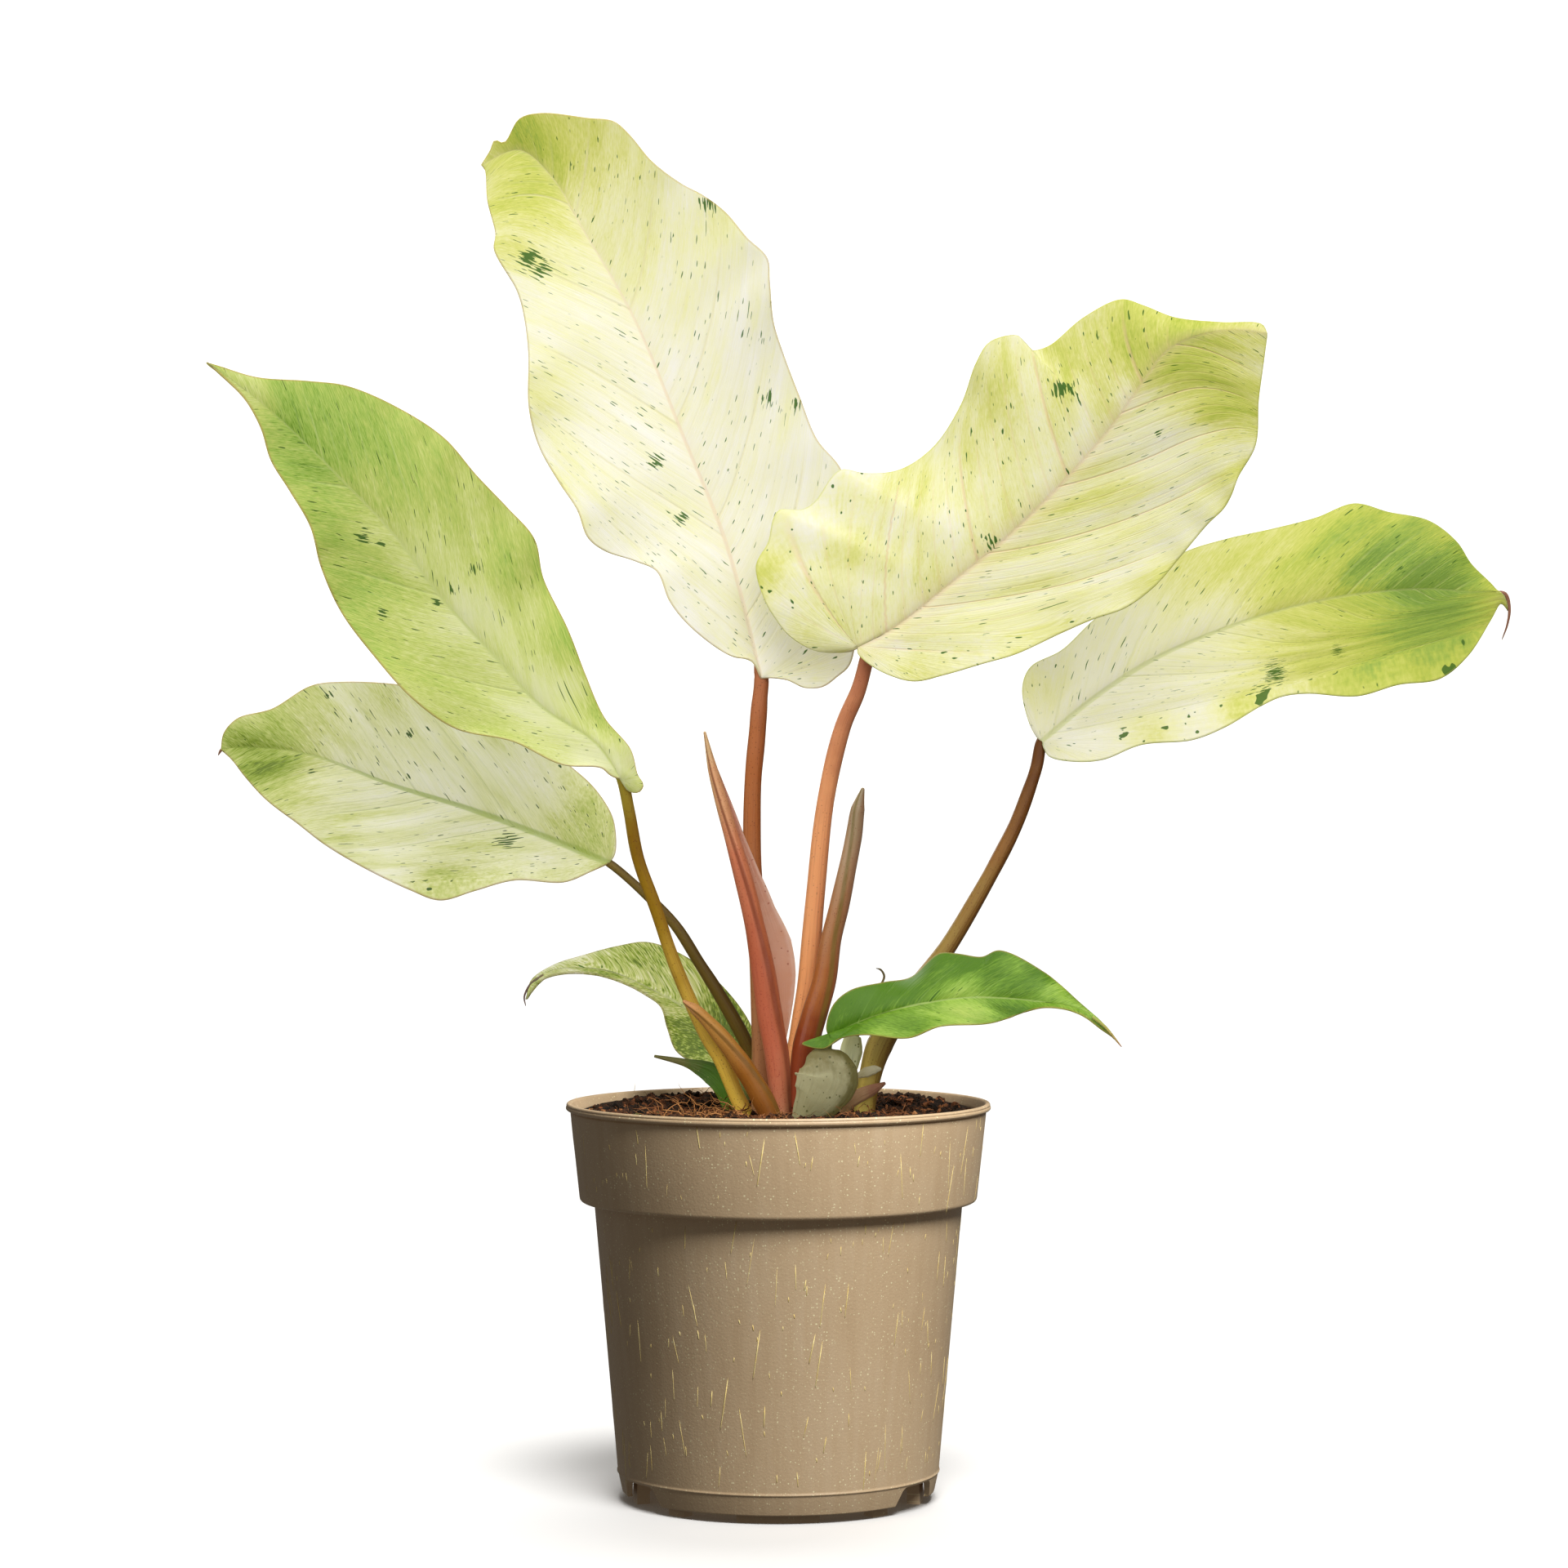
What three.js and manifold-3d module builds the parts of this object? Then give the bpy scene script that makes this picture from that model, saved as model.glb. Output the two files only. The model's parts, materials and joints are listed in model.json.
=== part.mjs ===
// Potted philodendron with pale, streaked leaves: a nursery pot, its soil, and a young plant of
// seven large leaves, two rolled new leaves and the scales at its foot.
// Millimetres, +Z up, +Y to the back. The origin is the middle of the pot's underside.

import * as THREE from 'three';
import { mergeVertices } from 'three/addons/utils/BufferGeometryUtils.js';
import Module from 'manifold-3d';

const wasm = await Module();
wasm.setup();

// Driving dimensions of the pot
const LIP_RADIUS = 60;
const POT_HEIGHT = 111.7;
const WALL = 1.4;
const COLLAR_TOP_RADIUS = 58.7;
const COLLAR_FOOT_RADIUS = 56.4;
const COLLAR_FOOT = 84;
const BODY_TOP_RADIUS = 52;
const BODY_FOOT_RADIUS = 45.2;
const SKIRT_TOP = 8.2;
const SKIRT_FOOT = 2.3;
const SKIRT_FOOT_RADIUS = 44;
const PLATE_UNDERSIDE = 8;
const PLATE_TOP = PLATE_UNDERSIDE + 1.6;
const POT_SEGMENTS = 48;

// Arched notches in the skirt, foot pads and drain holes
const NOTCH_ANGLES = [60, 180, 300];
const NOTCH = { innerRadius: 41.6, length: 8, footHalf: 10, topHalf: 7.5, top: 7.6 };
const PAD_RING = { inner: 37.6, outer: 41.2 };
const WIDE_PADS = { angles: [0, 120, 240], half: 16 };
const NARROW_PADS = { angles: [43, 77, 163, 197, 283, 317], half: 4 };
const MIDDLE_PAD_RADIUS = 12;
const DRAIN = { count: 6, ring: 26, radius: 3.5 };

// Clearance between neighbouring pieces, and what the soil and the buried stem measure
const GAP = 0.3;
const SOIL_LEVEL = 107.8;
const SOIL_LUMP = 1;
const SOIL_BACK_RISE = 2.3;
const CROWN = { x: 5, y: 3, z: 95.5, halfX: 26, halfY: 16, halfZ: 9.5 };

// Leaf blades: thickness, the rib behind the blade, and how the halves open, fold and wave
const BLADE_THICKNESS = 0.8;
const RIB_HEIGHT = 1.1;
const RIB_HALF_WIDTH = 1.6;
const RIB_START = 0.1;
const RIB_RISE = 0.08;
const MIDDLE_COLUMN = 0.55;
const OPENING_EASE = 0.8;
const FOLD_CURVE = 1.5;
const RIGHT_WAVE_SHIFT = 0.37;

// Top of a leaf stalk: the places along the midrib that it runs behind, how it thins there, and the
// allowance for the blade's slant
const JOINT_PLACES = [0, 0.025, 0.05];
const JOINT_TAPER = 0.28;
const JOINT_SLANT = 1.12;

// Outlines are drawn in the upright plane through the pot's axis, as [x, z], the way they look from a
// point in front of the plant. A point with a depth y moves along its line of sight to that depth.
const EYE = { x: 1.6, z: 201.5, distance: 1154 };

// The seven large leaves. lean tilts the rows of the blade towards its tip, depth is y at the blade's
// base and tip, bow bends the midrib to the back, and leftFold and rightFold turn the two halves (minus
// is towards the front). stalk runs up to the blade, with its depth at the foot and a radius for each
// point. join is the place along the midrib where the stalk meets the blade, if it isn't the base.
const LEAVES = {
  tall: {
    blade: 0xe9ecc4, stem: 0xa4603c, rows: 30, lean: 1.15,
    depth: [8, 52], bow: -6, leftFold: -9, rightFold: -8, wave: { count: 4, height: 2, phase: 0.1 },
    midrib: [[-4.8, 231.3], [-7.4, 242.3], [-14.8, 269.6], [-26.8, 299.6], [-40.6, 332.8],
      [-55.4, 358.7], [-63.5, 372.5], [-72.9, 380.6], [-84, 376.4]],
    left: [[-7.8, 236.5], [-12.7, 237.5], [-16.8, 239.6], [-25.6, 246.7], [-30.7, 253.2], [-34.4, 261.7],
      [-40.4, 264.5], [-49.2, 267.5], [-53.8, 271.2], [-56.8, 279], [-62.1, 287.1], [-67.6, 297],
      [-70.4, 307.7], [-70.6, 323.8], [-72, 334.7], [-73.9, 341.1], [-80.3, 352.7], [-79.9, 357],
      [-82.2, 366.5], [-82.9, 375.1]],
    right: [[-1.8, 231.5], [3, 230.8], [7.6, 228.7], [12.5, 229], [16.4, 231.7], [20.3, 235.6],
      [22.4, 256.9], [22.4, 275.3], [17.5, 290.6], [10.8, 298.9], [6, 310.7], [1.4, 322.9],
      [-1.4, 331.9], [-2.5, 343.4], [-3.2, 350.1], [-9, 355.9], [-15, 363], [-21.5, 367.9],
      [-27.5, 371.1], [-35.8, 377.4], [-42.2, 385], [-46.6, 388.7], [-53.8, 389.6], [-67.2, 391],
      [-73.2, 389.4], [-77.5, 382.7], [-80.1, 383.4], [-81.5, 380.4]],
    stalk: [[-4.4, 100], [-4.5, 113.8], [-4.7, 131.8], [-5.6, 155.3], [-7.3, 178.4], [-7.2, 201.5],
      [-6, 215.3], [-5.3, 224.6]],
    stalkDepth: 5, stalkRadii: [3.1, 3.1, 3, 2.8, 2.6, 2.5, 2.4, 2.3], topRadius: 2.1,
  },
  broad: {
    blade: 0xeaedb8, stem: 0xcf8455, rows: 30, lean: 1.2,
    depth: [-7, -32], bow: 5, leftFold: 13, rightFold: -7, wave: { count: 4, height: 1.8, phase: 0.4 },
    midrib: [[22.4, 240.3], [31.9, 245.1], [47.8, 257.3], [65.8, 272.3], [81.9, 288.3], [93.9, 302.3],
      [103.9, 316.2], [108.9, 323.1], [115.9, 327.3], [127.9, 329.8], [138.2, 328.9]],
    left: [[20.8, 239.1], [11.8, 238.9], [7.8, 240.3], [2.8, 243.7], [-0.7, 248.1], [-3.7, 253.2],
      [-6.2, 263.2], [-2.8, 269.8], [-1.4, 276.3], [0.2, 278.8], [6.7, 279], [10.4, 281.3],
      [15.2, 288.3], [17.8, 290.3], [24.7, 289.2], [34.4, 290.3], [43.9, 296.8], [51.7, 308.8],
      [55.9, 320.4], [59.8, 326.4], [68.3, 328], [72, 324], [76.4, 325.2], [86.3, 333.3],
      [96.9, 338.4], [103.2, 336.7], [111.9, 333.3], [124.9, 331.9], [136.6, 331.4]],
    right: [[22.4, 238.6], [24.7, 236.1], [30.7, 232.6], [38.3, 230.6], [46.9, 232.4], [57.9, 235.6],
      [66.9, 238.2], [79.9, 244.2], [88.9, 248.1], [97.9, 251.3], [105.9, 257.1], [113.8, 266.1],
      [121.4, 275.1], [127.2, 281.8], [129.9, 288.3], [134.8, 297.3], [135.7, 310.2], [136.9, 319.2]],
    stalk: [[2.8, 100], [3.9, 118.4], [6.2, 132.2], [8.3, 146.1], [10.4, 169.2], [13.4, 196.9],
      [18.2, 217.6], [22.6, 228]],
    stalkDepth: 5.5, stalkRadii: [2.9, 2.9, 2.9, 2.8, 2.7, 2.5, 2.3, 2.2], topRadius: 2, join: 0.06,
  },
  right: {
    blade: 0xc7dc82, stem: 0x8a5f3c, rows: 30, lean: 1.2,
    depth: [13, 44], bow: -5, leftFold: 11, rightFold: -7, wave: { count: 3, height: 1.6, phase: 0.2 },
    midrib: [[74.5, 213.5], [87.9, 224.8], [105.2, 236.3], [127.6, 246], [149.1, 252.5],
      [168.5, 255.7], [183, 256.6], [195.7, 255.7], [204.5, 255.3], [206.3, 250.5]],
    left: [[73.2, 214.6], [70.9, 218.8], [69, 228.7], [71.3, 234.5], [80.1, 239.3], [88.9, 247.6],
      [105.5, 260.6], [114.5, 266.8], [126.7, 270.7], [139.4, 273.5], [151.9, 276.7], [162.7, 280.7],
      [172.4, 278.3], [183.9, 275.8], [191.8, 269.8], [195.7, 263.8], [202.4, 256.9]],
    right: [[75.2, 211.2], [76.6, 209.3], [83.1, 207.9], [91.6, 208.4], [102.5, 212.6], [117, 214],
      [126.2, 217.6], [136.4, 223.6], [142.2, 226.2], [149.1, 227.1], [163.6, 226.4], [175.2, 229.6],
      [186.9, 231.3], [194.8, 237.7], [201.5, 248.1], [204.2, 252.5]],
    stalk: [[24, 100], [24.6, 111.5], [25.8, 118.4], [28.6, 127.6], [36, 139.2], [47.6, 155],
      [56.6, 170], [62.1, 180], [67.1, 190], [70.9, 200], [73, 206.5]],
    stalkDepth: 4, stalkRadii: [3, 3, 3.2, 3.8, 3.2, 2.5, 2.3, 2.2, 2, 1.9, 1.8], topRadius: 1.7,
  },
  left_upper: {
    blade: 0xb7d36d, stem: 0x9a8b3e, rows: 30, lean: 1.15,
    depth: [-16, -46], bow: 4, leftFold: -9, rightFold: 9, wave: { count: 3, height: 1.4, phase: 0.6 },
    midrib: [[-44.1, 202.6], [-51, 212.6], [-66.5, 223], [-81.7, 239.1], [-96.2, 255.3],
      [-108.2, 271.4], [-126.9, 291], [-144.9, 308.1], [-161.6, 320.6]],
    left: [[-47.5, 204], [-50.1, 206.1], [-61.2, 207], [-75, 213.5], [-91.2, 217.2], [-103.2, 225.5],
      [-114.2, 237.7], [-123.5, 250.2], [-129.2, 262.9], [-132.2, 274.2], [-138, 284.3],
      [-143.3, 292.9], [-146.3, 302.3], [-150.9, 310.4], [-158.6, 318]],
    right: [[-42.5, 199.6], [-39.5, 199.2], [-38.2, 201.2], [-39.8, 204], [-41.8, 211.2],
      [-49.2, 220.2], [-54.5, 232.2], [-59.5, 245.1], [-66.5, 259.7], [-69, 270.7], [-76.6, 279.5],
      [-85.2, 288.5], [-94.6, 299.3], [-107.8, 307.9], [-121.9, 313.9], [-132.9, 315.3],
      [-147.5, 316.4], [-157.6, 319.4]],
    stalk: [[-9, 100], [-9.5, 108], [-12, 113.8], [-15.9, 123], [-21, 131.8], [-29.3, 150.7],
      [-34.8, 166.9], [-39.7, 180.7], [-42.2, 194]],
    stalkDepth: -3.5, stalkRadii: [2.2, 2.3, 2.3, 2.2, 2, 1.9, 1.8, 1.7, 1.7], topRadius: 1.6,
  },
  left_lower: {
    blade: 0xc9d5a3, stem: 0x5f4f26, rows: 28, lean: 1.15,
    depth: [8, 32], bow: -4, leftFold: -8, rightFold: 8, wave: { count: 3, height: 1.4, phase: 0.3 },
    midrib: [[-47.8, 179.1], [-65.3, 186.3], [-86.8, 194.3], [-109.9, 201.5], [-128.1, 208.6],
      [-138.5, 211], [-150.3, 211.9], [-157.5, 211.2]],
    left: [[-53.3, 176.6], [-60.5, 173.8], [-74.8, 174.3], [-85.9, 171.3], [-95.6, 168.7],
      [-104.3, 171.7], [-117.7, 178.2], [-128.1, 184.4], [-135.9, 190.4], [-144.7, 197.1],
      [-150.7, 203.6], [-154.6, 208.6]],
    right: [[-46.4, 181.2], [-45.9, 184.4], [-46.9, 192], [-51.7, 199.9], [-58.6, 206.3],
      [-67.6, 213], [-79.2, 220], [-90.7, 225.7], [-105, 229.2], [-122.6, 230.3], [-132, 229.2],
      [-143.1, 222.7], [-152.8, 220], [-156.7, 215.8]],
    stalk: [[-3.4, 100], [-4.2, 111.5], [-5.8, 118.4], [-8.8, 127.6], [-16.4, 141.5], [-22.2, 150.7],
      [-29.3, 161.8], [-38.8, 171.5]],
    stalkDepth: 11.5, stalkRadii: [2.2, 2.2, 2.1, 2, 1.9, 1.7, 1.5, 1.3], topRadius: 1.2,
  },
  drooping: {
    blade: 0xa9b981, stem: 0x6f7a3d, rows: 22, lean: 1.1,
    depth: [17, 36], bow: 2, leftFold: -5, rightFold: 7, wave: { count: 2, height: 0.8, phase: 0.2 },
    midrib: [[-11.1, 123], [-16.8, 129.9], [-26.1, 138], [-35.8, 143.3], [-48.2, 148.5],
      [-60.7, 149.3], [-66.5, 147.6], [-71.3, 140.6]],
    left: [[-15.7, 122.3], [-24, 123], [-28.9, 126.2], [-31.4, 132.7], [-33.2, 138.5],
      [-37.6, 141.9], [-44.5, 145.4], [-52.6, 147.7], [-60, 147.9], [-66.3, 146.2]],
    right: [[-6.5, 125.3], [-7.6, 132.7], [-14.5, 142.9], [-24.9, 151.9], [-36.7, 156.7],
      [-45.5, 155.6], [-55.2, 153], [-63.5, 150.3], [-69.7, 146.1]],
    stalk: [[-9, 100], [-9.4, 110]],
    stalkDepth: 17.5, stalkRadii: [1.7, 1.6], topRadius: 1.3,
  },
  low_right: {
    blade: 0x6fae44, stem: 0x7f8d48, rows: 24, lean: 1.1,
    depth: [-7.5, -31], bow: 2, leftFold: 7, rightFold: -3, wave: { count: 2, height: 1.2, phase: 0.5 },
    midrib: [[14.5, 129.9], [21.5, 133.4], [34.2, 137.8], [53.1, 141], [72, 140.1], [87.9, 136.6],
      [95.1, 129.5]],
    left: [[13.6, 132.5], [15.5, 138.9], [20.3, 143.1], [29.8, 145.4], [37.4, 146.8], [45.5, 153.5],
      [50.5, 153.5], [57.5, 152.6], [62.5, 154.4], [75.2, 148.2], [85.4, 139.4], [90.5, 134.8]],
    right: [[11.3, 129.4], [6.7, 128.1], [12.7, 126.7], [17.1, 129.4], [24, 130.6], [36.7, 129.7],
      [45.5, 132.9], [60, 133.9], [75.2, 138.3], [84.7, 136.6], [91.6, 131.9]],
    stalk: [[13, 100], [13.2, 112], [13.6, 122]],
    stalkDepth: -3, stalkRadii: [1.5, 1.5, 1.4], topRadius: 1.2,
  },
};

// Rolled new leaves and the pointed sheath: centre line [x, z, y] from the foot up, radius at each point
const SPEARS = {
  spear_left: {
    colour: 0xb9604c,
    line: [[1, 100, -4.2], [0.9, 107, -4.2], [0.5, 112.6, -4.2], [-0.5, 124.2, -4.4], [-2.5, 135.7, -4.6],
      [-4.4, 148.4, -5], [-6.7, 161.1, -5.4], [-9.7, 173.8, -5.8], [-12.9, 185.3, -6.2],
      [-15.9, 195.7, -6.6], [-18.7, 206.1, -7], [-20.8, 216, -7.4]],
    radii: [2.7, 2.8, 3, 3.4, 3.7, 3.4, 2.9, 2.6, 2.2, 1.9, 1.4, 0.4],
  },
  spear_right: {
    colour: 0x93543f,
    line: [[5.4, 100, -0.5], [5.6, 109.2, -0.5], [6, 118.4, -0.7], [7.6, 127.6, -1], [10.2, 136.9, -1.4],
      [12.9, 146.1, -1.8], [14.8, 157.6, -2.2], [17.1, 166.9, -2.6], [19.2, 176.6, -3],
      [21.2, 186.5, -3.4], [22.4, 194.6, -3.8], [23.8, 199.9, -4]],
    radii: [2.5, 2.5, 2.9, 3.6, 3.7, 3.3, 3, 2.8, 2.6, 2.4, 2, 0.6],
  },
  sheath_orange: {
    colour: 0xc07a35,
    line: [[-2, 100, -10], [-2.2, 106.9, -10], [-5.3, 113.8, -10], [-9.5, 120.7, -10], [-13.8, 126.9, -10],
      [-18.7, 132.9, -10.2], [-23.3, 137.6, -10.4], [-26.5, 139.9, -10.6]],
    radii: [2.8, 3, 3.1, 2.9, 2.6, 2.1, 1.6, 0.6],
  },
};
const ROLL_STEP = 0.16;
const ROLL_BALANCE = 0.4;
const ROLL_TURNS = 0.35;

// Sides of the swept bodies, and rings for each point of their centre lines
const STALK_SIDES = 8;
const ROOT_SIDES = 5;
const ROLL_SIDES = 12;
const SCALE_SIDES = 12;
const RINGS_PER_POINT = 1.3;
const SCALE_RINGS_PER_POINT = 2;

// Flat scales and small leaves at the foot: centre line [x, z, y], half width at each point, thickness,
// how far the middle stands forward of the edges, and the turn of the blade about its own line.
const SCALES = {
  leaf_base_pale: {
    colour: 0xb3b591, turn: 8, cup: 0.22, thickness: 1,
    line: [[7.2, 100, -10.5], [7.6, 107.5, -10.5], [11, 112.6, -10.4], [13.6, 118.2, -10],
      [13.2, 122.5, -9.6], [12.3, 125.4, -9.2], [12, 127, -9]],
    halves: [3, 3.8, 7.2, 9.4, 7.3, 4.4, 1.6],
  },
  leaf_base_dark: {
    colour: 0x3f6b22, turn: 0, cup: -0.15, thickness: 0.8,
    line: [[-13, 100, 8], [-13.6, 108, 8], [-15.6, 115.4, 8], [-18.6, 119.4, 8.3], [-22.4, 121.4, 8.8],
      [-26.6, 122.8, 9.4], [-35, 124.6, 11]],
    halves: [1.4, 1.6, 2.6, 3.2, 2.2, 1.1, 0.4],
  },
  spear_left_wing: {
    colour: 0xcf9a88, turn: 0, cup: 0, thickness: 0.7,
    line: [[1.6, 127.5, -1.2], [2.4, 137, -1.1], [2.7, 147, -1.2], [1, 156.5, -1.6], [-2.6, 166, -2.3],
      [-6.2, 176, -3], [-9.8, 186, -3.8], [-12.9, 196, -4.8], [-16, 205.5, -5.8]],
    halves: [0.6, 1.5, 2.5, 3.1, 1.6, 1.2, 0.9, 0.7, 0.4],
  },
  sheath_dry: {
    colour: 0x8b6a4c, turn: 0, cup: 0.1, thickness: 0.7,
    line: [[18.5, 106, -2.2], [19.6, 110.6, -2.2], [22.6, 113.2, -2], [26.4, 115, -2], [30.2, 117, -2.2]],
    halves: [1.2, 1.6, 2, 1.7, 0.4],
  },
  sheath_flap: {
    colour: 0xb9ad86, turn: 0, cup: 0.1, thickness: 0.6,
    line: [[22.6, 119, 0.6], [24.8, 120, 0.25], [27.4, 120.8, 0.25], [29, 120.9, 0.7]],
    halves: [0.8, 1.5, 1.2, 0.4],
  },
  sheath_pale: {
    colour: 0xb9bc97, turn: 0, cup: 0.1, thickness: 0.7,
    line: [[18.4, 103, 1.5], [18.7, 112, 1.5], [19.8, 120, 1.2], [20.6, 126, 1], [21, 130, 0.8]],
    halves: [1.2, 1.8, 2.2, 3.3, 2.4],
  },
};

// Stubby roots of the buried stem: start, end and radius
const ROOTS = [
  { from: [-12, 2, 94], to: [-30, -8, 72], radius: 1.6 },
  { from: [0, -6, 92], to: [-6, -24, 66], radius: 1.7 },
  { from: [10, 8, 91], to: [14, 26, 64], radius: 1.6 },
  { from: [20, 0, 93], to: [36, -10, 74], radius: 1.5 },
  { from: [4, 2, 90], to: [2, 4, 58], radius: 1.8 },
];

function degrees(angle) {
  return THREE.MathUtils.degToRad(angle);
}

// Place of a drawn point [x, z] at depth y
function inSpace(x, z, y) {
  const spread = 1 + y / EYE.distance;
  return new THREE.Vector3(EYE.x + (x - EYE.x) * spread, y, EYE.z + (z - EYE.z) * spread);
}

// A closed geometry with merged corners, no empty triangles and its faces pointing out
function closedGeometry(positions, indices) {
  let geometry = new THREE.BufferGeometry();
  geometry.setAttribute('position', new THREE.Float32BufferAttribute(positions, 3));
  geometry.setIndex(indices);
  geometry = mergeVertices(geometry, 1e-4);
  const place = geometry.getAttribute('position');
  const corner = [new THREE.Vector3(), new THREE.Vector3(), new THREE.Vector3()];
  const kept = [];
  let volume = 0;
  for (let i = 0; i < geometry.index.count; i += 3) {
    const [a, b, c] = [0, 1, 2].map((k) => geometry.index.getX(i + k));
    if (a === b || b === c || c === a) continue;
    kept.push(a, b, c);
    [a, b, c].forEach((index, k) => corner[k].fromBufferAttribute(place, index));
    volume += corner[0].dot(corner[1].clone().cross(corner[2]));
  }
  geometry.setIndex(volume > 0 ? kept : kept.reverse());
  return geometry;
}

function closedCopy(source) {
  const indices = source.index
    ? Array.from(source.index.array)
    : Array.from({ length: source.getAttribute('position').count }, (_, i) => i);
  return closedGeometry(Array.from(source.getAttribute('position').array), indices);
}

// Solids for cutting and joining
function solidOf(source) {
  const geometry = closedCopy(source);
  return new wasm.Manifold(new wasm.Mesh({
    numProp: 3,
    vertProperties: new Float32Array(geometry.getAttribute('position').array),
    triVerts: new Uint32Array(geometry.index.array),
  }));
}

function geometryOf(solid) {
  const mesh = solid.getMesh();
  const geometry = new THREE.BufferGeometry();
  geometry.setAttribute('position', new THREE.Float32BufferAttribute(mesh.vertProperties, 3));
  geometry.setIndex(Array.from(mesh.triVerts));
  return geometry;
}

// A round body about the upright axis through the origin, from a profile of [radius, z]
function turned(profile, segments) {
  const points = profile.map(([radius, z]) => new THREE.Vector2(radius, z));
  return new THREE.LatheGeometry(points, segments).rotateX(Math.PI / 2);
}

// A body along a smooth line. section(angle, along) gives its two offsets: across the line in the
// drawing plane, and to the back.
function swept(points, section, sides, steps, endGrowth = 0) {
  const curve = new THREE.CatmullRomCurve3(points, false, 'centripetal');
  const positions = [];
  const indices = [];
  const back = new THREE.Vector3(0, 1, 0);
  for (let step = 0; step <= steps; step++) {
    const along = step / steps;
    const tangent = curve.getTangent(along).normalize();
    const depth = back.clone().addScaledVector(tangent, -back.dot(tangent)).normalize();
    const across = new THREE.Vector3().crossVectors(depth, tangent);
    const end = step === 0 ? -endGrowth : step === steps ? endGrowth : 0;
    const centre = curve.getPoint(along).addScaledVector(tangent, end);
    for (let side = 0; side < sides; side++) {
      const [sideways, backwards] = section(2 * Math.PI * side / sides, along);
      const point = centre.clone().addScaledVector(across, sideways).addScaledVector(depth, backwards);
      positions.push(point.x, point.y, point.z);
    }
  }
  for (let step = 0; step < steps; step++) {
    for (let side = 0; side < sides; side++) {
      const next = (side + 1) % sides;
      const [a, b] = [step * sides + side, step * sides + next];
      indices.push(a, b, b + sides, a, b + sides, a + sides);
    }
  }
  for (const first of [0, steps * sides]) {
    for (let side = 1; side < sides - 1; side++) {
      const cap = [first, first + side + 1, first + side];
      indices.push(...(first === 0 ? cap : cap.reverse()));
    }
  }
  return closedGeometry(positions, indices);
}

// Value at a place along a list of evenly spaced values
function between(values, along) {
  const place = Math.min(along * (values.length - 1), values.length - 1.000001);
  const index = Math.floor(place);
  return THREE.MathUtils.lerp(values[index], values[index + 1], place - index);
}

// Leaf stalks and rolled leaves
function stalk(points, radii, grow = 0, sides = STALK_SIDES) {
  const section = (angle, along) => {
    const radius = between(radii, along) + grow;
    return [radius * Math.cos(angle), radius * Math.sin(angle)];
  };
  return swept(points, section, sides, Math.round((points.length - 1) * RINGS_PER_POINT), grow);
}

function rolled(points, radii, grow = 0) {
  const section = (angle, along) => {
    const turn = (angle / (2 * Math.PI) + ROLL_TURNS * along) % 1;
    const radius = between(radii, along) * (1 + ROLL_STEP * (ROLL_BALANCE - turn)) + grow;
    return [radius * Math.cos(angle), radius * Math.sin(angle)];
  };
  return swept(points, section, ROLL_SIDES, Math.round((points.length - 1) * RINGS_PER_POINT), grow);
}

// Flat scale with an even thickness and a cupped middle
function scale({ line, halves, thickness, cup, turn }, grow = 0) {
  const points = line.map(([x, z, y]) => inSpace(x, z, y));
  const cosine = Math.cos(degrees(turn));
  const sine = Math.sin(degrees(turn));
  const section = (angle, along) => {
    const half = between(halves, along);
    const side = Math.sign(Math.cos(angle)) * Math.abs(Math.cos(angle)) ** 0.7;
    const wall = Math.sign(Math.sin(angle)) * Math.abs(Math.sin(angle)) ** 0.35;
    const sideways = (half + grow) * side;
    const backwards = (thickness / 2 + grow) * wall - cup * half * (1 - side * side);
    return [sideways * cosine - backwards * sine, sideways * sine + backwards * cosine];
  };
  return swept(points, section, SCALE_SIDES, (points.length - 1) * SCALE_RINGS_PER_POINT, grow);
}

// Smooth outline of a leaf, in the drawing plane
function outline(points) {
  const curve = new THREE.CatmullRomCurve3(points.map(([x, z]) => new THREE.Vector3(x, 0, z)), false,
    'centripetal');
  curve.arcLengthDivisions = 400;
  return curve;
}

// Depth of a blade: place along it from base to tip, place across it from -1 (left) to 1 (right)
function bladeDepth(leaf, along, across) {
  const fold = across < 0 ? leaf.leftFold : leaf.rightFold;
  const { count, height, phase } = leaf.wave;
  const shift = across < 0 ? 0 : RIGHT_WAVE_SHIFT;
  const line = THREE.MathUtils.lerp(leaf.depth[0], leaf.depth[1], along);
  const middle = line + leaf.bow * Math.sin(Math.PI * along);
  const open = Math.sin(Math.PI * along ** OPENING_EASE);
  const waves = height * Math.sin(2 * Math.PI * (count * along + phase + shift));
  return middle + open * (fold * Math.abs(across) ** FOLD_CURVE + waves * across * across);
}

// Rows of points across the blade. Each row runs from the left edge over the midrib to the right edge.
function bladeRows(leaf) {
  const [base, tip] = [leaf.midrib[0], leaf.midrib[leaf.midrib.length - 1]];
  const midrib = outline(leaf.midrib);
  const left = outline([base, ...leaf.left, tip]);
  const right = outline([base, ...leaf.right, tip]);
  const rows = [];
  for (let row = 0; row <= leaf.rows; row++) {
    const along = row / leaf.rows;
    const middle = midrib.getPointAt(along ** leaf.lean);
    const half = (edge) => {
      const rib = Math.min(0.3, RIB_HALF_WIDTH / Math.max(edge.distanceTo(middle), 0.01));
      return [1, MIDDLE_COLUMN, rib].map((share) => ({ share, edge }));
    };
    const columns = [
      ...half(left.getPointAt(along)).map(({ share, edge }) => ({ across: -share, edge })),
      { across: 0, edge: middle },
      ...half(right.getPointAt(along)).reverse().map(({ share, edge }) => ({ across: share, edge })),
    ];
    rows.push(columns.map(({ across, edge }) => {
      const drawn = middle.clone().lerp(edge, Math.abs(across));
      return inSpace(drawn.x, drawn.z, bladeDepth(leaf, along, across));
    }));
  }
  return rows;
}

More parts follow.
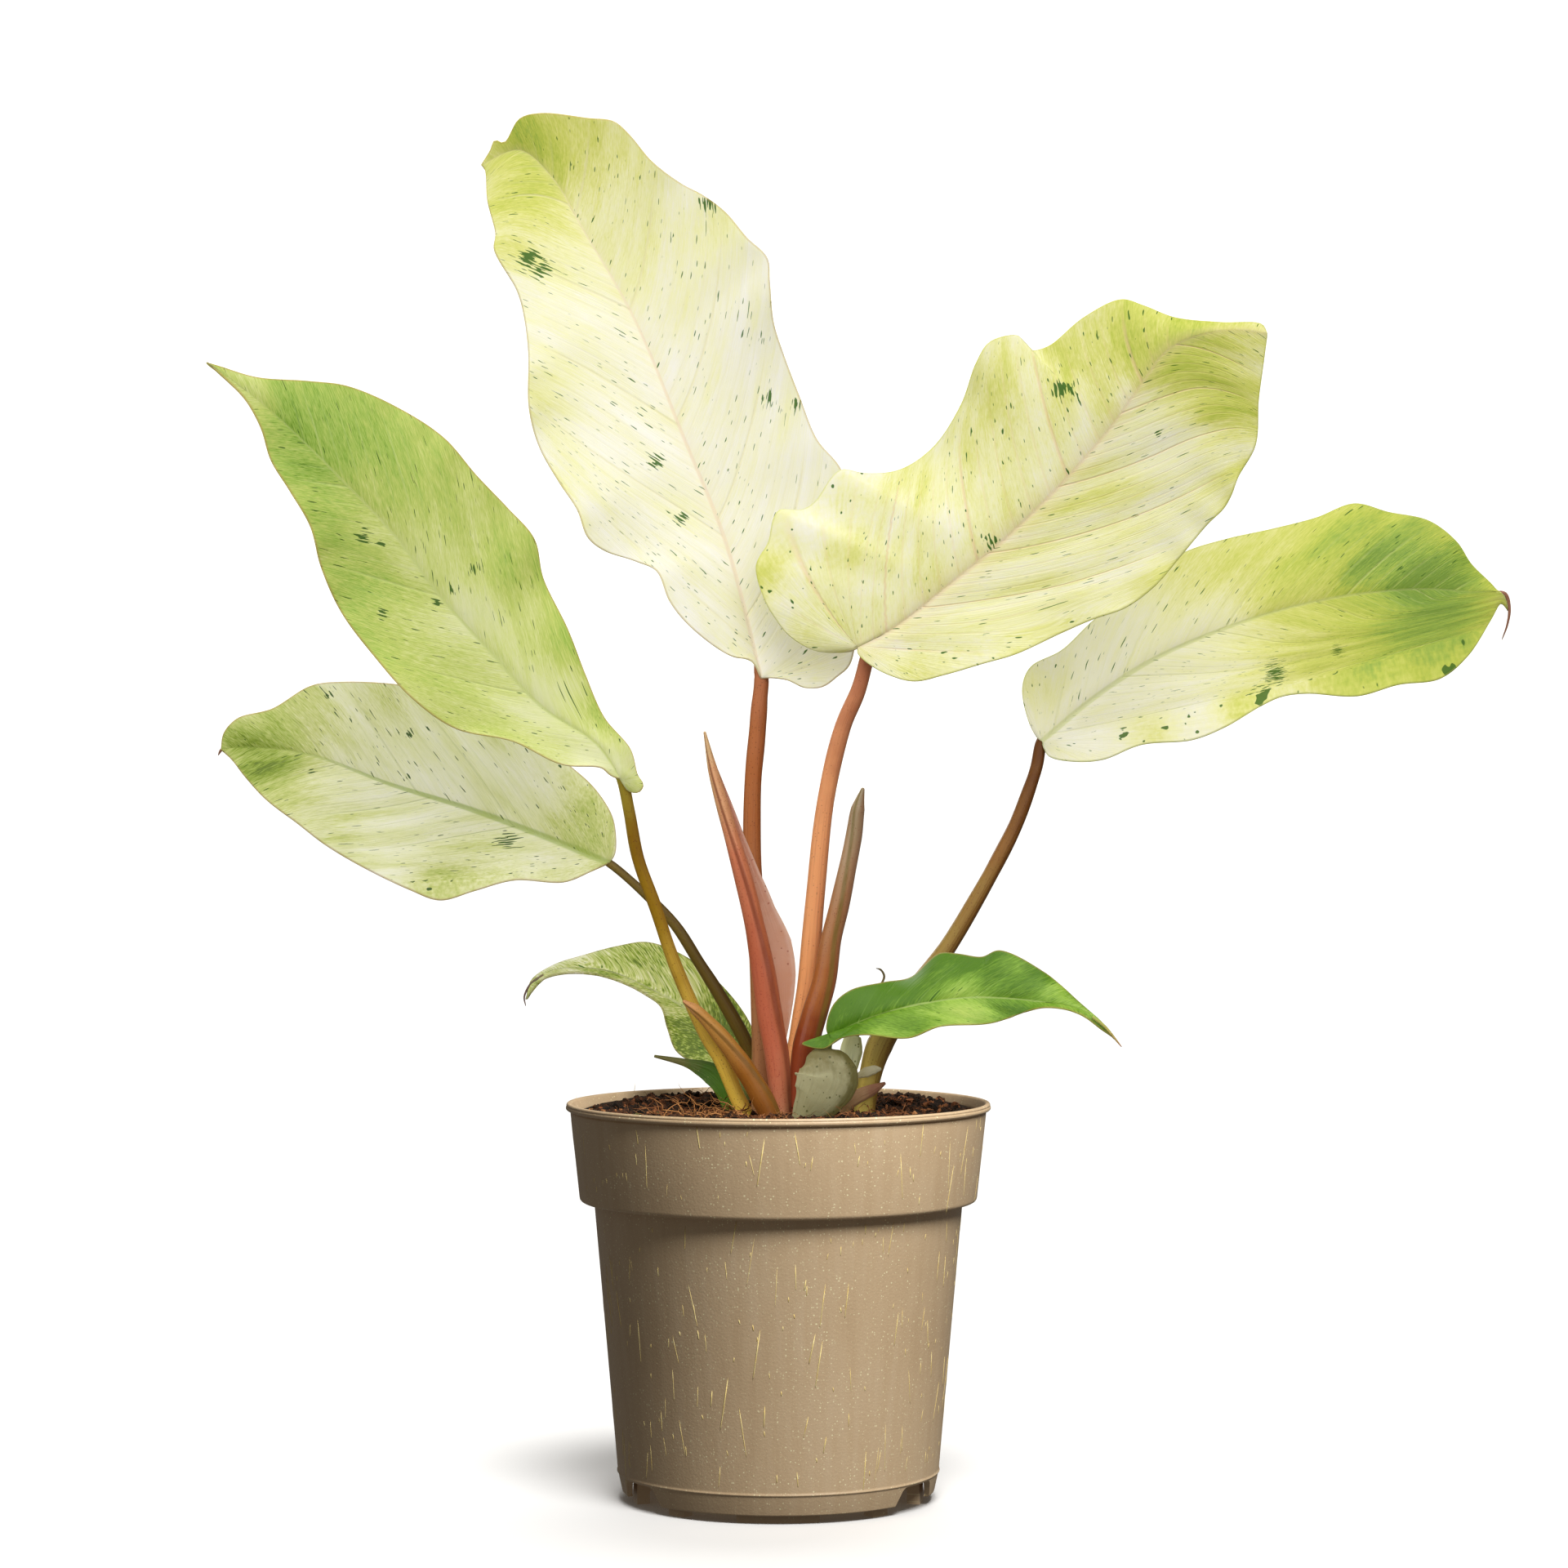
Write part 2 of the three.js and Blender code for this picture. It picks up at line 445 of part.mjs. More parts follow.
// Mean direction of the faces round each point of the rows, towards the front
function rowNormals(rows) {
  const last = rows.length - 1;
  const normals = rows.map((row) => row.map(() => new THREE.Vector3()));
  for (let i = 0; i < last; i++) {
    for (let j = 0; j + 1 < rows[i].length; j++) {
      const diagonal = rows[i + 1][j + 1].clone().sub(rows[i][j]);
      const other = rows[i + 1][j].clone().sub(rows[i][j + 1]);
      const face = diagonal.cross(other);
      for (const [row, column] of [[i, j], [i, j + 1], [i + 1, j], [i + 1, j + 1]]) {
        normals[row][column].add(face);
      }
    }
  }
  for (const end of [0, last]) {
    const sum = normals[end].reduce((total, normal) => total.add(normal), new THREE.Vector3());
    normals[end] = normals[end].map(() => sum.clone());
  }
  const sense = normals.flat().reduce((total, normal) => total + normal.y, 0) > 0 ? -1 : 1;
  return normals.map((row) => row.map((normal) => normal.normalize().multiplyScalar(sense)));
}

// Closed blade: front and back split into the same triangles, and a rim between them
function blade(leaf) {
  const rows = bladeRows(leaf);
  const normals = rowNormals(rows);
  const [last, width] = [rows.length - 1, rows[0].length];
  const middle = (width - 1) / 2;
  const positions = [];
  for (const face of [1, -1]) {
    rows.forEach((row, i) => row.forEach((point, j) => {
      const along = i / last;
      const swell = THREE.MathUtils.clamp((along - RIB_START) / RIB_RISE, 0, 1) * (1 - along);
      const rib = face < 0 && j === middle ? RIB_HEIGHT * swell : 0;
      const offset = face * (BLADE_THICKNESS / 2 + rib);
      positions.push(...point.clone().addScaledVector(normals[i][j], offset).toArray());
    }));
  }
  const index = (side, i, j) => side * rows.length * width + i * width + (i === 0 || i === last ? 0 : j);
  const indices = [];
  const quad = (a, b, c, d) => indices.push(a, b, c, a, c, d);
  for (let i = 0; i < last; i++) {
    for (let j = 0; j + 1 < width; j++) {
      quad(index(0, i, j), index(0, i, j + 1), index(0, i + 1, j + 1), index(0, i + 1, j));
      indices.push(index(1, i, j), index(1, i + 1, j + 1), index(1, i, j + 1));
      indices.push(index(1, i, j), index(1, i + 1, j), index(1, i + 1, j + 1));
    }
    quad(index(0, i, 0), index(0, i + 1, 0), index(1, i + 1, 0), index(1, i, 0));
    const edge = width - 1;
    quad(index(1, i, edge), index(1, i + 1, edge), index(0, i + 1, edge), index(0, i, edge));
  }
  return closedGeometry(positions, indices);
}

// Line of a leaf's stalk: up to the blade, and on behind the start of its midrib
function stalkLine(leaf) {
  const midrib = outline(leaf.midrib);
  const behind = BLADE_THICKNESS / 2 + GAP;
  const top = JOINT_PLACES.map((further, step) => {
    const along = (leaf.join ?? 0) + further;
    const point = midrib.getPointAt(along ** leaf.lean);
    const radius = leaf.topRadius * (1 - JOINT_TAPER * step);
    const depth = bladeDepth(leaf, along, 0) + JOINT_SLANT * (behind + radius);
    return { radius, place: inSpace(point.x, point.z, depth) };
  });
  const [foot, head] = [leaf.stalk[0][1], leaf.midrib[0][1]];
  const lower = leaf.stalk.map(([x, z]) => {
    const rise = (z - foot) / (head - foot);
    return inSpace(x, z, THREE.MathUtils.lerp(leaf.stalkDepth, top[0].place.y, rise * rise));
  });
  return {
    points: [...lower, ...top.map(({ place }) => place)],
    radii: [...leaf.stalkRadii, ...top.map(({ radius }) => radius)],
  };
}

// Pot: turned wall, then notches, pads and drain holes
function makePot() {
  const lip = [[COLLAR_TOP_RADIUS, 109], [LIP_RADIUS - 0.4, 109.3], [LIP_RADIUS, 110.2],
    [LIP_RADIUS - 0.2, 111.2], [LIP_RADIUS - 0.8, POT_HEIGHT], [LIP_RADIUS - 1.6, 111.5],
    [LIP_RADIUS - 1.9, 110.8], [COLLAR_TOP_RADIUS - WALL, 109]];
  const profile = [
    [0, PLATE_UNDERSIDE], [SKIRT_FOOT_RADIUS - WALL + 0.5, PLATE_UNDERSIDE],
    [SKIRT_FOOT_RADIUS - WALL, SKIRT_FOOT], [SKIRT_FOOT_RADIUS, SKIRT_FOOT],
    [BODY_FOOT_RADIUS, SKIRT_TOP - 0.5], [BODY_FOOT_RADIUS + 0.4, SKIRT_TOP],
    [BODY_FOOT_RADIUS + 0.1, SKIRT_TOP + 0.5], [BODY_TOP_RADIUS, COLLAR_FOOT],
    [COLLAR_FOOT_RADIUS - 0.8, COLLAR_FOOT], [COLLAR_FOOT_RADIUS, COLLAR_FOOT + 0.8], ...lip,
    [COLLAR_FOOT_RADIUS - WALL, COLLAR_FOOT + 2.2], [BODY_TOP_RADIUS - WALL, COLLAR_FOOT + WALL],
    [BODY_FOOT_RADIUS - WALL + 0.2, PLATE_TOP], [0, PLATE_TOP],
  ];
  let pot = solidOf(turned(profile, POT_SEGMENTS));
  const notch = new THREE.Shape([
    new THREE.Vector2(-NOTCH.footHalf, -1), new THREE.Vector2(NOTCH.footHalf, -1),
    new THREE.Vector2(NOTCH.footHalf, SKIRT_FOOT), new THREE.Vector2(NOTCH.topHalf, NOTCH.top),
    new THREE.Vector2(-NOTCH.topHalf, NOTCH.top), new THREE.Vector2(-NOTCH.footHalf, SKIRT_FOOT),
  ]);
  for (const angle of NOTCH_ANGLES) {
    const cutter = new THREE.ExtrudeGeometry(notch, { depth: NOTCH.length, bevelEnabled: false });
    cutter.rotateX(Math.PI / 2).translate(0, -NOTCH.innerRadius, 0).rotateZ(degrees(angle));
    pot = pot.subtract(solidOf(cutter));
  }
  const padHeight = PLATE_UNDERSIDE + 0.5;
  for (const { angles, half } of [WIDE_PADS, NARROW_PADS]) {
    for (const angle of angles) {
      const [start, end] = [degrees(angle - 90 - half), degrees(angle - 90 + half)];
      const pad = new THREE.Shape();
      pad.absarc(0, 0, PAD_RING.outer, start, end, false);
      pad.absarc(0, 0, PAD_RING.inner, end, start, true);
      pad.closePath();
      const steps = half > 10 ? 5 : 2;
      const block = new THREE.ExtrudeGeometry(pad, { depth: padHeight, bevelEnabled: false,
        curveSegments: steps });
      pot = pot.add(solidOf(block));
    }
  }
  const middlePad = new THREE.CylinderGeometry(MIDDLE_PAD_RADIUS, MIDDLE_PAD_RADIUS, padHeight, 24);
  middlePad.rotateX(Math.PI / 2).translate(0, 0, padHeight / 2);
  pot = pot.add(solidOf(middlePad));
  for (let hole = 0; hole < DRAIN.count; hole++) {
    const cutter = new THREE.CylinderGeometry(DRAIN.radius, DRAIN.radius, 6, 12);
    cutter.rotateX(Math.PI / 2).translate(DRAIN.ring, 0, PLATE_TOP - 1);
    cutter.rotateZ(2 * Math.PI * (hole + 0.5) / DRAIN.count);
    pot = pot.subtract(solidOf(cutter));
  }
  return geometryOf(pot);
}

// The soil stands higher at the back, and has lumps above and below its level
function soilRise(y) {
  return SOIL_BACK_RISE * THREE.MathUtils.smoothstep(y, -12, 48);
}

function soilLump(x, y) {
  const slow = Math.sin(0.11 * x + 0.6) * Math.cos(0.13 * y - 0.4);
  const fine = Math.sin(0.31 * x + 0.17 * y + 1) * Math.sin(0.27 * y - 0.21 * x + 2);
  return SOIL_LUMP * (0.5 * slow + 0.6 * fine);
}

// Soil: fills the pot, with a lumpy top and a hole for each piece that stands in it
function makeSoil(holes) {
  const slope = (BODY_TOP_RADIUS - BODY_FOOT_RADIUS) / (COLLAR_FOOT - SKIRT_TOP);
  const foot = BODY_FOOT_RADIUS - WALL + slope * 0.5 - GAP;
  const shoulder = COLLAR_FOOT + 2.2 + GAP;
  const collar = COLLAR_FOOT_RADIUS - WALL - GAP;
  const top = COLLAR_TOP_RADIUS - WALL - GAP - 0.1;
  const profile = [[0, PLATE_TOP + GAP], [foot, PLATE_TOP + GAP],
    [BODY_TOP_RADIUS - WALL - GAP, COLLAR_FOOT + WALL + GAP], [collar, shoulder],
    [top, SOIL_LEVEL], [top - 4, SOIL_LEVEL], [top - 12, SOIL_LEVEL], [top - 22, SOIL_LEVEL],
    [top - 34, SOIL_LEVEL], [top - 46, SOIL_LEVEL], [0, SOIL_LEVEL]];
  const geometry = closedCopy(turned(profile, POT_SEGMENTS));
  const place = geometry.getAttribute('position');
  for (let i = 0; i < place.count; i++) {
    const [x, y, z] = [place.getX(i), place.getY(i), place.getZ(i)];
    if (z < SOIL_LEVEL - 0.01) continue;
    const fade = Math.min(1, (top - Math.hypot(x, y)) / 8 + 0.25);
    place.setZ(i, z + soilRise(y) + fade * soilLump(x, y));
  }
  return geometryOf(holes.reduce((soil, hole) => soil.subtract(hole), solidOf(geometry)));
}

// Buried stem with its roots, and the same a little larger for its hollow in the soil
function makeCrown(grow) {
  const body = new THREE.SphereGeometry(1, 12, 8);
  body.rotateX(Math.PI / 2).scale(CROWN.halfX + grow, CROWN.halfY + grow, CROWN.halfZ + grow);
  body.translate(CROWN.x, CROWN.y, CROWN.z);
  return ROOTS.reduce((crown, { from, to, radius }) => {
    const [start, end] = [new THREE.Vector3(...from), new THREE.Vector3(...to)];
    const middle = start.clone().lerp(end, 0.5).add(new THREE.Vector3(0, 2.5, 3));
    return crown.add(solidOf(stalk([start, middle, end], [radius, radius * 0.85, radius * 0.5], grow,
      ROOT_SIDES)));
  }, solidOf(body));
}

function named(name, geometry, colour, roughness = 0.5) {
  const mesh = new THREE.Mesh(geometry, new THREE.MeshStandardMaterial({ color: colour, roughness,
    metalness: 0 }));
  geometry.computeVertexNormals();
  mesh.name = name;
  return mesh;
}

const plant = new THREE.Group();
const buried = [];

for (const [name, leaf] of Object.entries(LEAVES)) {
  const { points, radii } = stalkLine(leaf);
  plant.add(named(`leaf_${name}`, blade(leaf), leaf.blade, 0.45));
  plant.add(named(`stem_${name}`, stalk(points, radii), leaf.stem));
  buried.push(solidOf(stalk(points, radii, GAP)));
}
for (const [name, { colour, line, radii }] of Object.entries(SPEARS)) {
  const points = line.map(([x, z, y]) => inSpace(x, z, y));
  plant.add(named(name, rolled(points, radii), colour));
  buried.push(solidOf(rolled(points, radii, GAP)));
}
for (const [name, part] of Object.entries(SCALES)) {
  plant.add(named(name, scale(part), part.colour, 0.6));
  buried.push(solidOf(scale(part, GAP)));
}

const crown = buried.reduce((solid, hole) => solid.subtract(hole), makeCrown(0));
const holder = new THREE.Group();
holder.add(named('pot', makePot(), 0x96805f, 0.55));
holder.add(named('soil', makeSoil([makeCrown(GAP), ...buried]), 0x2b2019, 0.95));
plant.add(named('crown', geometryOf(crown), 0x7a6a48, 0.8));

const group = new THREE.Group();
group.add(holder, plant);

export default group;
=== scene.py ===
"""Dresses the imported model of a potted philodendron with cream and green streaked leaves.

Lengths in the tables are millimetres. Outlines are drawn as [x, z] points in the upright plane through
the pot's axis, the way they look from a point in front of the plant, and each drawn point moves along
its line of sight to its real depth. Meshes are built with their place in their points, in metres.
"""

import json
import logging
import math
from collections.abc import Callable, Iterable
from dataclasses import dataclass, field
from enum import Enum
from typing import ClassVar

import bmesh
import bpy
import numpy as np
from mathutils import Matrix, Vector, noise

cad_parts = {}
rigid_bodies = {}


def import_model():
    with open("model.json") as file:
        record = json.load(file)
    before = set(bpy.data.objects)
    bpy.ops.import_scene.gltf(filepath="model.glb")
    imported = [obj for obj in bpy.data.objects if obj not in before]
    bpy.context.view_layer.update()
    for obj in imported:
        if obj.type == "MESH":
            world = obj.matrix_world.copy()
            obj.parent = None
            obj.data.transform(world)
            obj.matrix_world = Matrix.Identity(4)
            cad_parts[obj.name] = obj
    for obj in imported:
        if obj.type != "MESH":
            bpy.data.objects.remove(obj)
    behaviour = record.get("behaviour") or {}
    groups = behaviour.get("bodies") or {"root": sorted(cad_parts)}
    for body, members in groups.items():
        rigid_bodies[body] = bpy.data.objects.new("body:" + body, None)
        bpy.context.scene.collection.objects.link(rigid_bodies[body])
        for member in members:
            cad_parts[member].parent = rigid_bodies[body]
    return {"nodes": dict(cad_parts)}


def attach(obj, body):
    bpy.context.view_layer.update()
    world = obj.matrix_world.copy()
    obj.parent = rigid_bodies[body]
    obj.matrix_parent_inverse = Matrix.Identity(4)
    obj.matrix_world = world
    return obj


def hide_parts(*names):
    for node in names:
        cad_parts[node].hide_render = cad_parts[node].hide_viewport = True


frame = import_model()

log = logging.getLogger("philodendron")

MM = 0.001
TURN = 2 * math.pi
BODY = "root"

Points = tuple[tuple[float, ...], ...]
Triple = tuple[float, float, float]
Colour = tuple[int, int, int]
Stops = tuple[tuple[float, Colour], ...]
Inputs = dict[int | str, object]


def linear(colour: Colour) -> tuple[float, ...]:
    """Turns a screen colour into the light that a shader works with.

    Args:
        colour: Red, green and blue from 0 to 255.

    Returns:
        Linear red, green, blue and an alpha of 1.
    """
    shares = [part / 255 for part in colour]
    light = [s / 12.92 if s <= 0.04045 else ((s + 0.055) / 1.055) ** 2.4 for s in shares]
    return (*light, 1.0)


def eased(value: np.ndarray, low: float, high: float) -> np.ndarray:
    """Rises smoothly from 0 at low to 1 at high."""
    share = np.clip((value - low) / (high - low), 0, 1)
    return share * share * (3 - 2 * share)


def vector_lengths(table: np.ndarray) -> np.ndarray:
    """Gives the length of each vector, as a last axis of one."""
    return np.linalg.norm(table, axis=-1, keepdims=True)


@dataclass(frozen=True)
class Eye:
    """The point in front of the plant that the outlines are drawn from."""

    x: float = 1.6
    z: float = 201.5
    distance: float = 1154.0

    def place(self, drawn: np.ndarray, depth: np.ndarray) -> np.ndarray:
        """Moves drawn points along their lines of sight.

        Args:
            drawn: Points [x, z] in the upright plane through the pot's axis.
            depth: Depth y of each point.

        Returns:
            Points [x, y, z].
        """
        spread = 1 + depth / self.distance
        across = self.x + (drawn[..., 0] - self.x) * spread
        height = self.z + (drawn[..., 1] - self.z) * spread
        return np.stack([across, depth, height], axis=-1)

    def all(self, line: Points) -> np.ndarray:
        """Places a list of [x, z, y] points."""
        table = np.array(line, float)
        return self.place(table[:, :2], table[:, 2])


EYE = Eye()


class SmoothLine:
    """A smooth line through points: a centripetal Catmull-Rom curve."""

    DIVISIONS = 400
    REACH = 1e-4
    SMALLEST_GAP = 1e-4

    def __init__(self, points: np.ndarray) -> None:
        """Keeps the points, with one more at each end, and measures the line.

        Args:
            points: At least two points.
        """
        points = np.asarray(points, float)
        self.points = np.vstack([2 * points[0] - points[1], points, 2 * points[-1] - points[-2]])
        self.spans = len(points) - 1
        self.places = np.linspace(0, 1, self.DIVISIONS + 1)
        steps = np.diff(self.at(self.places), axis=0)
        self.lengths = np.concatenate([[0], np.cumsum(np.linalg.norm(steps, axis=1))])

    def at(self, place: np.ndarray) -> np.ndarray:
        """Gives points on the line.

        Args:
            place: Places from 0 to 1, with the same share for each span.

        Returns:
            A point for each place.
        """
        scaled = np.atleast_1d(place) * self.spans
        index = np.clip(np.floor(scaled).astype(int), 0, self.spans - 1)
        share = (scaled - index)[:, None]
        before, start, end, after = (self.points[index + step] for step in range(4))
        pairs = ((before, start), (start, end), (end, after))
        gaps = [np.sum((b - a) ** 2, axis=1) ** 0.25 for a, b in pairs]
        middle = np.where(gaps[1] < self.SMALLEST_GAP, 1.0, gaps[1])
        first = np.where(gaps[0] < self.SMALLEST_GAP, middle, gaps[0])[:, None]
        last = np.where(gaps[2] < self.SMALLEST_GAP, middle, gaps[2])[:, None]
        middle = middle[:, None]
        leave = (start - before) / first - (end - before) / (first + middle) + (end - start) / middle
        arrive = (end - start) / middle - (after - start) / (middle + last) + (after - end) / last
        leave, arrive = leave * middle, arrive * middle
        square = -3 * start + 3 * end - 2 * leave - arrive
        cube = 2 * start - 2 * end + leave + arrive
        return start + leave * share + square * share**2 + cube * share**3

    def along(self, share: np.ndarray) -> np.ndarray:
        """Gives points at shares of the line's length."""
        return self.at(np.interp(np.atleast_1d(share) * self.lengths[-1], self.lengths, self.places))

    def directions(self, place: np.ndarray) -> np.ndarray:
        """Gives the line's unit direction.

        Args:
            place: Places from 0 to 1.

        Returns:
            A direction for each place.
        """
        ahead = self.at(np.clip(np.atleast_1d(place) + self.REACH, 0, 1))
        behind = self.at(np.clip(np.atleast_1d(place) - self.REACH, 0, 1))
        return (ahead - behind) / vector_lengths(ahead - behind)


def ring_faces(rings: int, sides: int) -> list[tuple[int, ...]]:
    """Numbers the faces of a tube whose points lie in rings.

    Args:
        rings: How many rings there are.
        sides: Points in each ring.

    Returns:
        The corners of each face.
    """
    faces = []
    for ring in range(rings - 1):
        for side in range(sides):
            here, after = ring * sides + side, ring * sides + (side + 1) % sides
            faces.append((here, after, after + sides, here + sides))
    return faces


@dataclass
class Shape:
    """A closed surface in millimetres: points, faces, and vector values kept at each point."""

    points: np.ndarray
    faces: list[tuple[int, ...]]
    values: dict[str, np.ndarray] = field(default_factory=dict)

    def facing_out(self) -> "Shape":
        """Turns the faces round if they point inwards.

        Returns:
            The same shape.
        """
        centre = self.points.mean(axis=0)
        volume = 0.0
        for face in self.faces:
            corners = self.points[list(face)] - centre
            for second, third in zip(corners[1:-1], corners[2:]):
                volume += float(np.dot(corners[0], np.cross(second, third)))
        if volume < 0:
            self.faces = [face[::-1] for face in self.faces]
        return self

    def build(self, name: str, material: bpy.types.Material, merge: float = 1e-4) -> bpy.types.Object:
        """Makes the Blender object, with merged points and smooth faces.

        Args:
            name: The piece's name.
            material: What it wears.
            merge: Points closer than this, in millimetres, become one.

        Returns:
            The object, at the origin, with its place in its mesh.
        """
        mesh = bpy.data.meshes.new(name)
        mesh.from_pydata((self.facing_out().points * MM).tolist(), [], self.faces)
        for key, table in self.values.items():
            layer = mesh.attributes.new(key, "FLOAT_VECTOR", "POINT")
            layer.data.foreach_set("vector", np.ascontiguousarray(table, dtype=np.float32).ravel())
        work = bmesh.new()
        work.from_mesh(mesh)
        bmesh.ops.remove_doubles(work, verts=work.verts, dist=merge * MM)
        work.to_mesh(mesh)
        work.free()
        mesh.shade_smooth()
        mesh.materials.append(material)
        return placed(name, mesh)


def evaluated(piece: bpy.types.Object) -> bpy.types.Mesh:
    """Gives a new mesh of a piece with its modifiers worked out."""
    return bpy.data.meshes.new_from_object(piece.evaluated_get(bpy.context.evaluated_depsgraph_get()))


def placed(name: str, thing: bpy.types.ID) -> bpy.types.Object:
    """Puts a mesh, lamp or camera in the scene.

    Args:
        name: The object's name.
        thing: What the object holds.

    Returns:
        The object.
    """
    piece = bpy.data.objects.new(name, thing)
    bpy.context.scene.collection.objects.link(piece)
    return piece


def turned(profile: Points, sides: int) -> Shape:
    """Turns a profile about the pot's axis.

    Args:
        profile: Points [radius, height].
        sides: Points in each ring.

    Returns:
        The surface, a ring of points for each point of the profile.
    """
    table = np.array(profile, float)
    angles = TURN * np.arange(sides) / sides
    radius, height = table[:, 0, None], table[:, 1, None]
    rows = np.stack([radius * np.cos(angles), radius * np.sin(angles), height + 0 * angles], axis=2)
    return Shape(rows.reshape(-1, 3), ring_faces(len(table), sides))


class Group(Enum):
    """The groups of pieces that lamps can light on their own."""

    PLANT = "lit plant"
    POT = "lit pot"
    FLOOR = "lit floor"

    def take(self, piece: bpy.types.Object) -> None:
        """Adds a piece to the group."""
        group = bpy.data.collections.get(self.value) or bpy.data.collections.new(self.value)
        group.objects.link(piece)


def keep(piece: bpy.types.Object, group: Group, slot: str, *nodes: str) -> bpy.types.Object:
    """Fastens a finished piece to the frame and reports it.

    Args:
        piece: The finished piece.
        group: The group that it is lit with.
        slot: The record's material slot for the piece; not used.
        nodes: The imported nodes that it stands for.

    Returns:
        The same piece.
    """
    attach(piece, BODY)
    group.take(piece)
    if nodes:
        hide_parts(*nodes)
    log.info("%s: %d faces", piece.name, len(piece.data.polygons))
    return piece


Section = Callable[[np.ndarray, float], tuple[np.ndarray, np.ndarray]]
CAP_RINGS = 4


def swept(points: np.ndarray, section: Section, sides: int, rings: int, cap: float) -> Shape:
    """Sweeps a section along a smooth line and rounds both ends.

    Args:
        points: The line's points [x, y, z].
        section: Takes angles and a place along the line, and gives offsets to the right and back.
        sides: Points round the section.
        rings: Spans along the line.
        cap: How far a rounded end stands out, as a share of the section's mean radius.

    Returns:
        The body, with `stalk_grain` values: cosine and sine of the angle, and the place along.
    """
    line = SmoothLine(points)
    angles = TURN * np.arange(sides) / sides
    bends = np.linspace(0, math.pi / 2, CAP_RINGS + 1)[:-1]
    starts = [(0.0, -math.cos(bend), math.sin(bend)) for bend in bends]
    middle = [(ring / rings, 0.0, 1.0) for ring in range(rings + 1)]
    ends = [(1.0, -push, size) for _, push, size in reversed(starts)]
    rows, grain = [], []
    for along, push, size in starts + middle + ends:
        tangent = line.directions(np.array([along]))[0]
        back = np.array([0.0, 1.0, 0.0]) - tangent * tangent[1]
        back /= np.linalg.norm(back)
        right = np.cross(back, tangent)
        sideways, backwards = section(angles, along)
        radius = float(np.mean(np.hypot(sideways, backwards)))
        centre = line.at(np.array([along]))[0] + tangent * push * cap * radius
        rows.append(centre + size * (sideways[:, None] * right + backwards[:, None] * back))
        grain.append(np.stack([np.cos(angles), np.sin(angles), np.full(sides, along)], axis=1))
    return Shape(np.vstack(rows), ring_faces(len(rows), sides), {"stalk_grain": np.vstack(grain)})


class Maths(Enum):
    """The sums that the node trees use."""

    ADD = "ADD"
    LESS = "SUBTRACT"
    TIMES = "MULTIPLY"
    SHARE = "DIVIDE"
    SIZE = "ABSOLUTE"
    FRACTION = "FRACT"
    ABOVE = "GREATER_THAN"
    ANGLE = "ARCTAN2"
    POWER = "POWER"


class Value:
    """What a node gives, with sums on it written as plain arithmetic."""

    def __init__(self, tree: "Tree", socket: bpy.types.NodeSocket) -> None:
        """Keeps the node's output and the tree that it is in."""
        self.tree, self.socket = tree, socket

    def __add__(self, other: object) -> "Value":
        """Adds a number or another value."""
        return self.tree.sum(Maths.ADD, self, other)

    def __sub__(self, other: object) -> "Value":
        """Takes a number or another value away."""
        return self.tree.sum(Maths.LESS, self, other)

    def __rsub__(self, other: float) -> "Value":
        """Takes the value away from a number."""
        return self.tree.sum(Maths.LESS, other, self)

    def __mul__(self, other: object) -> "Value":
        """Multiplies by a number or another value."""
        return self.tree.sum(Maths.TIMES, self, other)

    def __truediv__(self, other: object) -> "Value":
        """Divides by a number or another value."""
        return self.tree.sum(Maths.SHARE, self, other)

    def __pow__(self, power: float) -> "Value":
        """Raises the value to a power."""
        return self.tree.sum(Maths.POWER, self, power)

    def above(self, bound: float) -> "Value":
        """Gives 1 above a bound and 0 below it."""
        return self.tree.sum(Maths.ABOVE, self, bound)

    def angle(self, run: "Value") -> "Value":
        """Gives the angle that the value rises over a run."""
        return self.tree.sum(Maths.ANGLE, self, run)

    def swing(self, reach: float) -> "Value":
        """Turns noise round 0.5 into a swing as wide as reach on both sides of 0."""
        return (self - 0.5) * (2 * reach)

    def off_whole(self) -> "Value":
        """Gives how far the value is from the nearest whole number."""
        return self.tree.sum(Maths.SIZE, self.tree.sum(Maths.FRACTION, self + 0.5) - 0.5)


